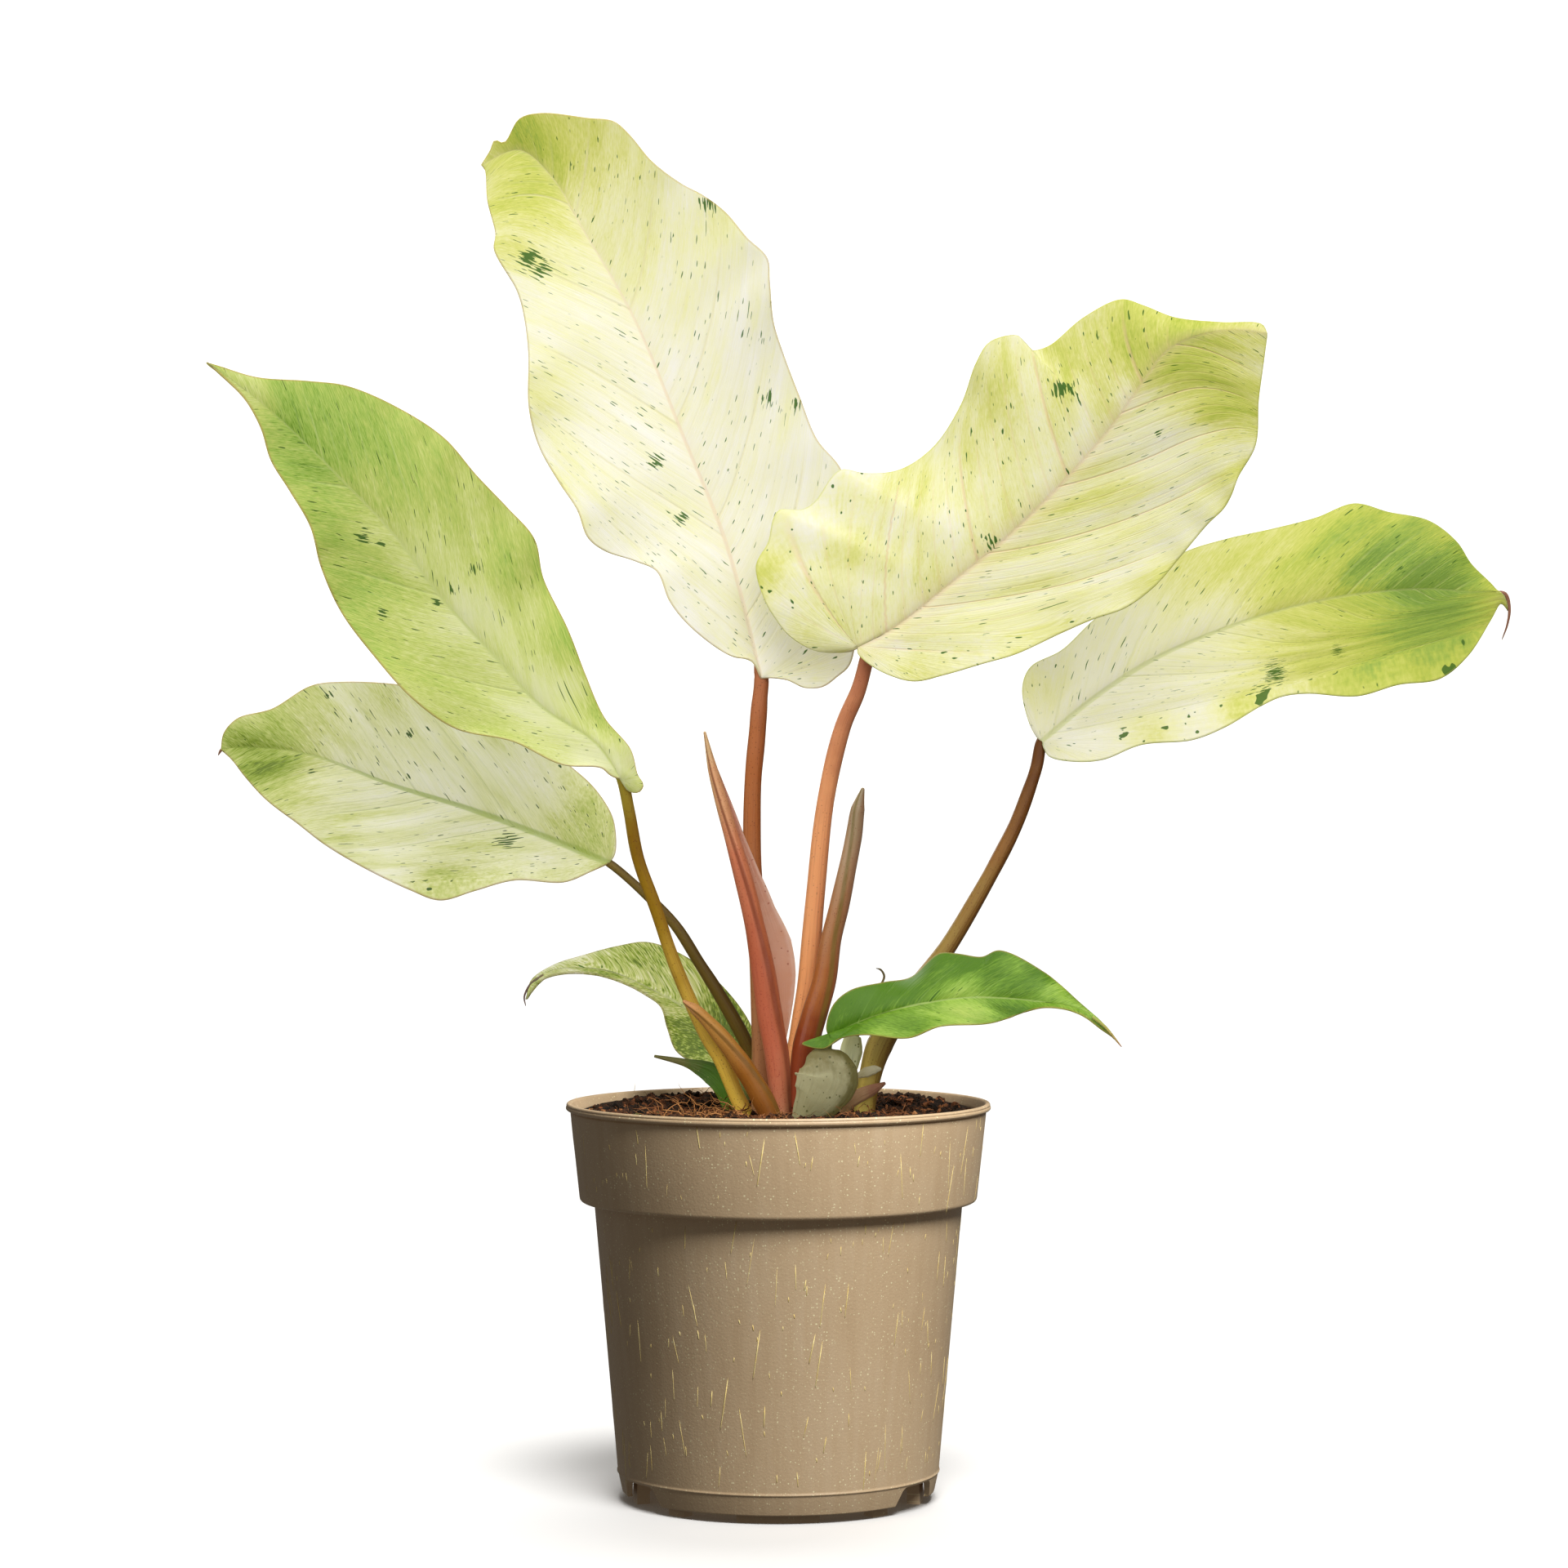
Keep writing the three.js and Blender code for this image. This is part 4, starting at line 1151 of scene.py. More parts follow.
    def _rim(self, rows: np.ndarray, column: int, inner: int) -> np.ndarray:
        """Draws the line that stands out a little between the front's edge and the back's.

        Args:
            rows: The rows of points.
            column: The column at the edge.
            inner: The column beside it.

        Returns:
            A point for each row.
        """
        outward = rows[:, column] - rows[:, inner]
        size = vector_lengths(outward)
        return rows[:, column] + outward / np.maximum(size, self.NOTHING) * self.RIM * (size > 1e-5)

    def _values(self) -> dict[str, tuple[np.ndarray, ...]]:
        """Gathers what the finish reads.

        Returns:
            For each name, the values of the front and of the back.
        """
        along = self.grid["along"]
        rib = self.grid["off_rib"] / (0.25 + self.plan.finish.rib_width * (1 - along) ** 0.8)
        grain = np.stack([self.grid[key] for key in ("start", "reach", "vein")], axis=2)
        tones = np.stack([self.tone(), self.splashes(), self.grid["edge"]], axis=2)
        faces = [np.stack([rib, np.full(along.shape, behind), along], axis=2) for behind in (0.0, 1.0)]
        return {"leaf_grain": (grain, grain), "leaf_tone": (tones, tones), "leaf_face": tuple(faces)}

    @staticmethod
    def _faces(count: int, width: int) -> list[tuple[int, ...]]:
        """Numbers the faces of the front, the back and the rim.

        Args:
            count: How many rows there are.
            width: Points in each row.

        Returns:
            The corners of each face.
        """
        back, left = count * width, 2 * count * width
        right = left + count
        faces = []
        for row in range(count - 1):
            for column in range(width - 1):
                a = row * width + column
                faces.append((a, a + 1, a + width + 1, a + width))
                faces.append((back + a, back + a + width, back + a + width + 1, back + a + 1))
            for column, rim, order in ((0, left, 1), (width - 1, right, -1)):
                a, b = row * width + column, (row + 1) * width + column
                faces.append((a, b, rim + row + 1, rim + row)[::order])
                faces.append((rim + row, rim + row + 1, back + b, back + a)[::order])
        return faces


class Leaf:
    """A leaf blade on its stalk."""

    STALK_SIDES, STALK_RINGS, STALK_CAP = 24, 6, 0.7
    TIP_SIDES, TIP_RINGS, TIP_CAP = 10, 5, 0.8
    TOPS = (0, 0.025, 0.05)
    TOP_TAPER = 0.28
    SUNK = 0.25
    CLEARANCE = 1.12

    def __init__(self, plan: LeafPlan) -> None:
        """Draws the leaf."""
        self.plan = plan
        self.blade = Blade(plan)

    def stalk_line(self) -> tuple[np.ndarray, list[float]]:
        """Draws the stalk up to the blade, and on behind the start of its midrib.

        Returns:
            The stalk's points [x, y, z], and a radius for each.
        """
        plan, stalk = self.plan, self.plan.stalk
        tops, top_radii = [], []
        for step, further in enumerate(self.TOPS):
            along = stalk.join + further
            radius = stalk.top_radius * (1 - self.TOP_TAPER * step)
            point = self.blade.midrib.along(np.array([along**plan.lean]))
            depth = self.blade.depth(np.array([along]), np.array([0.0]))
            behind = self.CLEARANCE * (Blade.WIDEST / 2 + radius - self.SUNK)
            tops.append(EYE.place(point, depth + behind)[0])
            top_radii.append(radius)
        foot, head = stalk.line[0][1], plan.midrib[0][1]
        drawn = np.array(stalk.line)
        rise = ((drawn[:, 1] - foot) / (head - foot)) ** 2
        lower = EYE.place(drawn, stalk.depth + (tops[0][1] - stalk.depth) * rise)
        return np.vstack([lower, tops]), [*stalk.radii, *top_radii]

    def stalk(self) -> Shape:
        """Sweeps the stalk, a little flat in front and with slow swellings.

        Returns:
            The stalk.
        """
        points, radii = self.stalk_line()
        places = np.linspace(0, 1, len(radii))

        def section(angles: np.ndarray, along: float) -> tuple[np.ndarray, np.ndarray]:
            """Draws the section.

            Args:
                angles: The angles round it.
                along: The place along the body.

            Returns:
                Offsets to the right and back.
            """
            radius = float(np.interp(along, places, radii))
            radius *= 1 + 0.025 * math.sin(23 * along) + 0.015 * math.sin(57 * along + 1)
            flat = 1 - 0.1 * np.exp(-(((angles - 1.5 * math.pi) / 0.5) ** 2))
            return radius * flat * np.cos(angles), radius * flat * np.sin(angles)

        rings = (len(points) - 1) * self.STALK_RINGS
        return swept(points, section, self.STALK_SIDES, rings, self.STALK_CAP)

    def dry_tip(self) -> Shape:
        """Sweeps the thin strand at the blade's tip.

        Returns:
            The strand.
        """
        line = EYE.all(self.plan.tip)

        def section(angles: np.ndarray, along: float) -> tuple[np.ndarray, np.ndarray]:
            """Draws the section.

            Args:
                angles: The angles round it.
                along: The place along the body.

            Returns:
                Offsets to the right and back.
            """
            radius = self.plan.tip_radius * (1 - along) ** 0.7 + 0.1
            return radius * np.cos(angles), 0.6 * radius * np.sin(angles)

        return swept(line, section, self.TIP_SIDES, (len(line) - 1) * self.TIP_RINGS, self.TIP_CAP)

    def make(self) -> None:
        """Builds the blade, its stalk and its dry tip, and keeps them."""
        plan = self.plan
        blade = self.blade.shape().build(f"blade_{plan.name}", plan.finish.material())
        keep(blade, Group.PLANT, plan.slot, f"leaf_{plan.name}")
        stalk = self.stalk().build(f"stalk_{plan.name}", plan.stalk.finish.material())
        keep(stalk, Group.PLANT, plan.stalk.slot, f"stem_{plan.name}")
        if plan.tip:
            finish = StalkFinish(f"dry tip {plan.name}", plan.tip_colours, side=plan.tip_colours[-1][1])
            tip = self.dry_tip().build(f"dry_tip_{plan.name}", finish.material())
            keep(tip, Group.PLANT, plan.slot)


CREAM_TONES: Stops = ((0.0, (246, 244, 230)), (0.15, (242, 240, 212)), (0.3, (238, 237, 184)),
    (0.45, (226, 226, 146)), (0.6, (210, 214, 108)), (0.75, (190, 201, 82)), (0.9, (152, 180, 70)),
    (1.0, (128, 160, 60)))
GREEN_TONES: Stops = ((0.0, (232, 236, 186)), (0.2, (218, 226, 148)), (0.4, (198, 212, 112)),
    (0.55, (180, 203, 98)), (0.7, (156, 190, 78)), (0.85, (118, 158, 46)), (1.0, (82, 124, 24)))
GREY_TONES: Stops = ((0.0, (238, 238, 216)), (0.25, (226, 228, 184)), (0.45, (206, 211, 142)),
    (0.62, (182, 194, 106)), (0.8, (142, 164, 58)), (0.95, (100, 122, 40)))

TALL = LeafPlan(
    name="tall", slot="leaf_cream", lean=1.15, depth=(8, 52), bow=-6, wave=(4, 2, 0.1),
    midrib=((-4.8, 231.3), (-7.4, 242.3), (-14.8, 269.6), (-26.8, 299.6), (-40.6, 332.8), (-55.4, 358.7),
        (-63.5, 372.5), (-72.9, 380.6), (-84, 376.4)),
    left=Half(
        edge=((-7.8, 236.5), (-12.7, 237.5), (-16.8, 239.6), (-25.6, 246.7), (-30.7, 253.2), (-34.4, 261.7),
            (-40.4, 264.5), (-49.2, 267.5), (-53.8, 271.2), (-56.8, 279), (-62.1, 287.1), (-67.6, 297),
            (-70.4, 307.7), (-70.6, 323.8), (-72, 334.7), (-73.9, 341.1), (-80.3, 352.7), (-79.9, 357),
            (-82.2, 366.5), (-82.9, 375.1)),
        fold=-9, vein_angle=36, veins=(0.05, 0.23, 0.42, 0.62), curve=0.002),
    right=Half(
        edge=((-1.8, 231.5), (3, 230.8), (7.6, 228.7), (12.5, 229), (16.4, 231.7), (20.3, 235.6),
            (22.4, 256.9), (22.4, 275.3), (17.5, 290.6), (10.8, 298.9), (6, 310.7), (1.4, 322.9),
            (-1.4, 331.9), (-2.5, 343.4), (-3.2, 350.1), (-9, 355.9), (-15, 363), (-21.5, 367.9),
            (-27.5, 371.1), (-35.8, 377.4), (-42.2, 385), (-46.6, 388.7), (-53.8, 389.6), (-67.2, 391),
            (-73.2, 389.4), (-77.5, 382.7), (-80.1, 383.4), (-81.5, 380.4)),
        fold=-8, vein_angle=48, veins=(0.1, 0.26, 0.43, 0.62), curve=0.012),
    stalk=StalkPlan(
        line=((-4.4, 100), (-4.5, 113.8), (-4.7, 131.8), (-5.6, 155.3), (-7.3, 178.4), (-7.2, 201.5),
            (-6, 215.3), (-5.3, 224.6)),
        depth=5, radii=(3.1, 3.1, 3, 2.8, 2.6, 2.5, 2.4, 2.3), top_radius=2.1, slot="stalk_brown_red",
        finish=StalkFinish(
            "stalk brown red", ((0.1, (166, 118, 78)), (0.5, (172, 100, 50)), (0.9, (182, 112, 74))),
            side=(124, 62, 30))),
    finish=BladeFinish(
        "leaf cream", CREAM_TONES, rib=(238, 222, 194), rib_width=0.7, blush=0.12, splash=(54, 104, 10),
        fleck_share=0.01, bands=0.12, clouds=0.3),
    tone=0.12,
    patches=((-67.6, 384, 20, 0.5), (-75, 388, 9, 0.3), (-73, 358, 20, 0.3), (-46, 377, 20, 0.12),
        (-35, 356, 20, 0.16), (-67, 312, 11, 0.2), (-61, 286, 10, 0.12), (-15, 361, 9, 0.15),
        (-80, 372, 9, 0.12)),
    splashes=((-70.3, 349.8, 3.4), (-66.5, 347, 2.6), (-19.2, 365.3, 2.6), (-34.2, 292.7, 2.4),
        (-27.2, 276.5, 2), (-3, 310, 2), (5, 309.3, 1.8), (-9.5, 329, 1.2)))

BROAD = LeafPlan(
    name="broad", slot="leaf_yellow", lean=1.2, depth=(-7, -32), bow=5, wave=(4, 0.7, 0.4),
    midrib=((22.4, 240.3), (31.9, 245.1), (47.8, 257.3), (65.8, 272.3), (81.9, 288.3), (93.9, 302.3),
        (103.9, 316.2), (108.9, 323.1), (115.9, 327.3), (127.9, 329.8), (138.2, 328.9)),
    left=Half(
        edge=((20.8, 239.1), (11.8, 238.9), (7.8, 240.3), (2.8, 243.7), (-0.7, 248.1), (-3.7, 253.2),
            (-6.2, 263.2), (-2.8, 269.8), (-1.4, 276.3), (0.2, 278.8), (6.7, 279), (10.4, 281.3),
            (15.2, 288.3), (17.8, 290.3), (24.7, 289.2), (34.4, 290.3), (43.9, 296.8), (51.7, 308.8),
            (55.9, 320.4), (59.8, 326.4), (67.3, 328.3), (68.6, 327.4), (69.6, 325.2), (71.4, 324),
            (76.4, 325.2), (86.3, 333.3), (96.9, 338.4), (103.2, 336.7), (111.9, 333.3), (124.9, 331.9),
            (136.6, 331.4)),
        fold=13, vein_angle=65, veins=(-0.07, 0.06, 0.275, 0.506, 0.73), curve=0.0075),
    right=Half(
        edge=((22.4, 238.6), (24.7, 236.1), (30.7, 232.6), (38.3, 230.6), (46.9, 232.4), (57.9, 235.6),
            (66.9, 238.2), (79.9, 244.2), (88.9, 248.1), (97.9, 251.3), (105.9, 257.1), (113.8, 266.1),
            (121.4, 275.1), (125.8, 279.4), (128, 283.2), (129.9, 288.3), (134.8, 297.3), (135.7, 310.2),
            (136.9, 319.2)),
        fold=-7, vein_angle=33, veins=(0.0, 0.14, 0.3, 0.48, 0.66)),
    stalk=StalkPlan(
        line=((2.8, 100), (3.9, 118.4), (6.2, 132.2), (8.3, 146.1), (10.4, 169.2), (13.4, 196.9),
            (18.2, 217.6), (22.6, 228)),
        depth=5.5, radii=(2.9, 2.9, 2.9, 2.8, 2.7, 2.5, 2.3, 2.2), top_radius=2, slot="stalk_salmon",
        join=0.06,
        finish=StalkFinish(
            "stalk salmon",
            ((0.1, (240, 168, 106)), (0.48, (242, 168, 114)), (0.62, (206, 136, 94)),
                (0.72, (180, 112, 78)), (0.92, (152, 86, 56))),
            side=(190, 112, 80), speck=(150, 84, 60), speck_share=0.12)),
    finish=BladeFinish(
        "leaf yellow", CREAM_TONES, rib=(236, 212, 178), rib_share=0.4, blush=0.2, rib_width=1,
        vein=(232, 198, 160), vein_share=0.4, fleck=(108, 136, 30), splash=(48, 104, 4), fleck_share=0.006,
        streaks=0.1, bands=0.14, margin=(200, 204, 100), seed=2.0),
    tone=0.32,
    patches=((108, 331, 20, 0.24), (122, 320, 17, 0.28), (129, 306, 14, 0.16), (84, 325, 14, 0.2),
        (62, 313, 12, 0.12), (-3, 262, 9, 0.18), (108, 257, 10, 0.14), (127, 285, 9, 0.14),
        (2, 262, 14, -0.06), (113, 296, 14, -0.14), (103, 308, 9, -0.1), (14, 262, 12, -0.06)),
    splashes=((80.2, 313, 3.2), (82.4, 312.2, 2.2), (60, 269.6, 2.2), (82, 300, 1.1), (107, 300.5, 1.1)))

RIGHT = LeafPlan(
    name="right", slot="leaf_lime", lean=1.2, depth=(13, 44), bow=-5, wave=(3, 1.6, 0.2),
    midrib=((74.5, 213.5), (87.9, 224.8), (105.2, 236.3), (127.6, 246), (149.1, 252.5), (168.5, 255.7),
        (183, 256.6), (195.7, 255.7), (204.5, 255.3), (206.3, 250.5)),
    left=Half(
        edge=((73.2, 214.6), (70.9, 218.8), (69, 228.7), (71.3, 234.5), (80.1, 239.3), (88.9, 247.6),
            (105.5, 260.6), (114.5, 266.8), (126.7, 270.7), (139.4, 273.5), (151.9, 276.7), (162.7, 280.7),
            (172.4, 278.3), (183.9, 275.8), (191.8, 269.8), (195.7, 263.8), (202.4, 256.9)),
        fold=11, vein_angle=38, veins=(0.03, 0.2, 0.42, 0.66)),
    right=Half(
        edge=((75.2, 211.2), (76.6, 209.3), (83.1, 207.9), (91.6, 208.4), (102.5, 212.6), (117, 214),
            (126.2, 217.6), (136.4, 223.6), (142.2, 226.2), (149.1, 227.1), (163.6, 226.4), (175.2, 229.6),
            (186.9, 231.3), (194.8, 237.7), (201.5, 248.1), (204.2, 252.5)),
        fold=-7, vein_angle=30, veins=(0.02, 0.2, 0.4, 0.6)),
    stalk=StalkPlan(
        line=((24, 100), (24.6, 111.5), (25.8, 118.4), (28.6, 127.6), (36, 139.2), (47.6, 155), (56.6, 170),
            (62.1, 180), (67.1, 190), (70.9, 200), (73, 206.5)),
        depth=4, radii=(3, 3, 3.2, 3.8, 3.2, 2.5, 2.3, 2.2, 2, 1.9, 1.8), top_radius=1.7,
        slot="stalk_brown_olive",
        finish=StalkFinish(
            "stalk brown olive",
            # The pale olive foot is partly the stalk's own colour and partly painted light that lifts the
            # shade of the low right leaf over it.
            ((0.1, (186, 164, 78)), (0.3, (158, 134, 66)), (0.55, (142, 98, 46)), (0.76, (106, 62, 20))),
            side=(98, 54, 18), shaded_side_share=0.7)),
    finish=BladeFinish(
        "leaf lime", CREAM_TONES, rib=(204, 211, 134), rib_width=0.9, vein=(222, 224, 150), rib_share=0.55,
        vein_share=0.16, streaks=0.1, bands=0.1, clouds=0.26, fleck_share=0.011, margin=(176, 184, 96),
        seed=5.0),
    tone=0.18,
    # The paler patches at (90, 226) and (125, 249) lie where the broad leaf shades this blade: partly its own
    # paler tone and partly painted light that lifts that shade.
    patches=((186, 258, 26, 0.62), (176, 268, 22, 0.42), (188, 244, 18, 0.4), (158, 268, 20, 0.36),
        (172, 232, 14, 0.3), (152, 234, 18, 0.3), (136, 264, 16, 0.2), (118, 262, 16, 0.26),
        (131, 222, 8, 0.34), (140, 250, 24, 0.1), (72, 232, 8, 0.12), (105, 214, 7, 0.16),
        (90, 226, 16, -0.05), (125, 249, 10, -0.12)),
    splashes=((140.3, 232.6, 3.2), (136, 226, 3), (188.8, 233.8, 1.8), (158, 239, 1.5), (98, 215.5, 2),
        (176, 262, 1.2)),
    tip=((202, 255.4, 42.5), (205.4, 255.2, 43.2), (206.6, 251.1, 43.4), (206, 246.5, 42.8),
        (204.5, 242.3, 42)))

LEFT_UPPER = LeafPlan(
    name="left_upper", slot="leaf_fresh_green", lean=1.15, depth=(-16, -46), bow=4, wave=(3, 1.4, 0.6),
    midrib=((-44.1, 202.6), (-51, 212.6), (-66.5, 223), (-81.7, 239.1), (-96.2, 255.3), (-108.2, 271.4),
        (-126.9, 291), (-144.9, 308.1), (-161.6, 320.6)),
    left=Half(
        edge=((-47.5, 204), (-50.1, 206.1), (-61.2, 207), (-75, 213.5), (-91.2, 217.2), (-103.2, 225.5),
            (-114.2, 237.7), (-123.5, 250.2), (-129.2, 262.9), (-132.2, 274.2), (-138, 284.3),
            (-143.3, 292.9), (-146.3, 302.3), (-150.9, 310.4), (-158.6, 318)),
        fold=-9, vein_angle=38, veins=(0.04, 0.22, 0.44, 0.68)),
    right=Half(
        edge=((-42.5, 199.6), (-39.5, 199.2), (-38.2, 201.2), (-39.8, 204), (-41.8, 211.2), (-49.2, 220.2),
            (-54.5, 232.2), (-59.5, 245.1), (-66.5, 259.7), (-69, 270.7), (-76.6, 279.5), (-85.2, 288.5),
            (-94.6, 299.3), (-107.8, 307.9), (-121.9, 313.9), (-132.9, 315.3), (-147.5, 316.4),
            (-157.6, 319.4)),
        fold=9, vein_angle=30, veins=(0.06, 0.28, 0.5, 0.74)),
    stalk=StalkPlan(
        line=((-9, 100), (-9.5, 108), (-12, 113.8), (-15.9, 123), (-21, 131.8), (-29.3, 150.7),
            (-34.8, 166.9), (-39.7, 180.7), (-42.2, 194)),
        depth=-3.5, radii=(2.2, 2.3, 2.3, 2.2, 2, 1.9, 1.8, 1.7, 1.7), top_radius=1.6,
        slot="stalk_olive_yellow",
        finish=StalkFinish(
            "stalk olive yellow",
            # The pale yellow near the foot is partly the stalk's own colour and partly painted light that
            # lifts the shade there.
            ((0.1, (214, 178, 70)), (0.28, (222, 184, 72)), (0.4, (200, 164, 64)), (0.52, (164, 126, 28)),
                (0.66, (144, 106, 22)), (0.9, (178, 168, 62))),
            side=(136, 98, 40), shaded_side_share=0.4)),
    finish=BladeFinish(
        "leaf fresh green", GREEN_TONES, rib=(214, 224, 146), rib_width=0.6, vein=(220, 230, 160),
        fleck=(92, 128, 40), splash=(62, 104, 28), margin=(186, 140, 88), vein_share=0.18, streaks=0.1,
        bands=0.16, clouds=0.32, sand=0.46, fleck_share=0.007, seed=8.0),
    tone=0.33,
    patches=((-128, 300, 24, 0.3), (-112, 290, 20, 0.12), (-118, 256, 12, 0.24), (-98, 240, 16, 0.06),
        (-66, 226, 14, -0.26), (-80, 247, 12, -0.18), (-50, 208, 12, -0.28), (-50, 222, 7, 0.3),
        (-60, 241, 8, 0.26), (-116, 272, 7, -0.18), (-148, 308, 8, -0.2), (-104, 266, 10, -0.2),
        (-92, 250, 9, -0.2), (-120, 286, 7, -0.14), (-74, 262, 10, 0.16), (-138, 306, 12, 0.16)),
    splashes=((-117.6, 271, 2.2), (-112.6, 269.6, 1.4), (-86, 262, 1.5), (-112, 250, 1.5),
        (-96.6, 252.5, 1.4), (-92, 256, 1.4)))

LEFT_LOWER = LeafPlan(
    name="left_lower", slot="leaf_grey_green", lean=1.15, depth=(8, 32), bow=-4, wave=(3, 1.4, 0.3),
    midrib=((-47.8, 179.1), (-65.3, 186.3), (-86.8, 194.3), (-109.9, 201.5), (-128.1, 208.6), (-138.5, 211),
        (-150.3, 211.9), (-157.5, 211.2)),
    left=Half(
        edge=((-53.3, 176.6), (-60.5, 173.8), (-74.8, 174.3), (-85.9, 171.3), (-95.6, 168.7),
            (-104.3, 171.7), (-117.7, 178.2), (-128.1, 184.4), (-135.9, 190.4), (-144.7, 197.1),
            (-150.7, 203.6), (-154.6, 208.6)),
        fold=-8, vein_angle=30, veins=(0.03, 0.24, 0.46, 0.7)),
    right=Half(
        edge=((-46.4, 181.2), (-45.9, 184.4), (-46.9, 192), (-51.7, 199.9), (-58.6, 206.3), (-67.6, 213),
            (-79.2, 220), (-90.7, 225.7), (-105, 229.2), (-122.6, 230.3), (-132, 229.2), (-143.1, 222.7),
            (-152.8, 220), (-156.7, 215.8)),
        fold=8, vein_angle=38, veins=(0.04, 0.26, 0.5, 0.74)),
    stalk=StalkPlan(
        line=((-3.4, 100), (-4.2, 111.5), (-5.8, 118.4), (-8.8, 127.6), (-16.4, 141.5), (-22.2, 150.7),
            (-29.3, 161.8), (-38.8, 171.5)),
        depth=11.5, radii=(2.2, 2.2, 2.1, 2, 1.9, 1.7, 1.5, 1.3), top_radius=1.2, slot="stalk_dark_olive",
        finish=StalkFinish(
            "stalk dark olive", ((0.1, (98, 82, 24)), (0.5, (98, 80, 28)), (0.9, (140, 118, 56))),
            side=(70, 50, 24), shaded_side_share=0.6)),
    finish=BladeFinish(
        "leaf grey green", GREY_TONES, rib=(160, 180, 84), rib_share=0.68, rib_width=1.2,
        vein=(186, 194, 132), vein_share=0.2, fleck=(92, 112, 44), splash=(50, 86, 24), fleck_share=0.05,
        margin=(170, 130, 96), streaks=0.14, bands=0.16, clouds=0.5, sand=0.34, seed=11.0),
    tone=0.2,
    # The paler patch at (-90, 205) lies where the upper left leaf shades this blade: painted light that lifts
    # that shade.
    patches=((-147, 210, 14, 0.6), (-136, 222, 12, 0.2), (-108, 229, 11, 0.18), (-80, 218, 9, 0.16),
        (-54, 193, 9, 0.34), (-52, 179, 8, 0.22), (-94, 172, 9, 0.22), (-124, 186, 9, 0.22),
        (-90, 205, 14, -0.1), (-82, 176, 14, 0.16), (-140, 198, 9, 0.2)),
    splashes=((-76.8, 185.3, 2.8), (-127, 226.3, 1.3), (-132, 205, 1.2), (-105, 203, 1), (-104, 216, 1)),
    tip=((-155.5, 211.6, 32), (-157.4, 211.1, 32.3), (-158.3, 209.6, 32.3)))

DROOPING = LeafPlan(
    name="drooping", slot="leaf_mottled", lean=1.1, depth=(17, 36), bow=2, wave=(2, 0.8, 0.2),
    midrib=((-11.1, 123), (-16.8, 129.9), (-26.1, 138), (-35.8, 143.3), (-48.2, 148.5), (-60.7, 149.3),
        (-66.5, 147.6), (-71.3, 140.6)),
    left=Half(
        edge=((-15.7, 122.3), (-24, 123), (-28.9, 126.2), (-31.4, 132.7), (-33.2, 138.5), (-37.6, 141.9),
            (-44.5, 145.4), (-52.6, 147.7), (-60, 147.9), (-66.3, 146.2)),
        fold=-5, vein_angle=34, veins=(0.1, 0.35, 0.6)),
    right=Half(
        edge=((-6.5, 125.3), (-7.6, 132.7), (-14.5, 142.9), (-24.9, 151.9), (-36.7, 156.7), (-45.5, 155.6),
            (-55.2, 153), (-63.5, 150.3), (-69.7, 146.1)),
        fold=7, vein_angle=34, veins=(0.1, 0.35, 0.6)),
    stalk=StalkPlan(
        line=((-9, 100), (-9.4, 110)), depth=17.5, radii=(1.7, 1.6), top_radius=1.3, slot="stalk_green",
        finish=StalkFinish(
            "stalk green left", ((0.1, (120, 128, 66)), (0.9, (132, 140, 76))), side=(92, 88, 44))),
    finish=BladeFinish(
        "leaf mottled", GREY_TONES, rib=(190, 196, 140), rib_width=0.5, vein=(176, 184, 130),
        fleck=(88, 100, 42), fleck_share=0.2, margin=(132, 116, 76), streaks=0.2, bands=0.2, clouds=0.6,
        sand=0.9, seed=14.0),
    tone=0.56,
    patches=((-24, 128, 9, 0.3), (-13, 133, 10, 0.35), (-40, 148, 8, -0.12), (-58, 150, 8, -0.15),
        (-46, 154, 7, 0.2), (-37, 153.5, 8, 0.24)),
    tip=((-66.5, 147.4, 34), (-69.8, 145.2, 35.4), (-71.8, 141.4, 36), (-71.4, 138.8, 36)), tip_radius=0.35,
    tip_colours=((0.0, (150, 138, 104)), (0.5, (112, 92, 84)), (1.0, (92, 76, 76))))

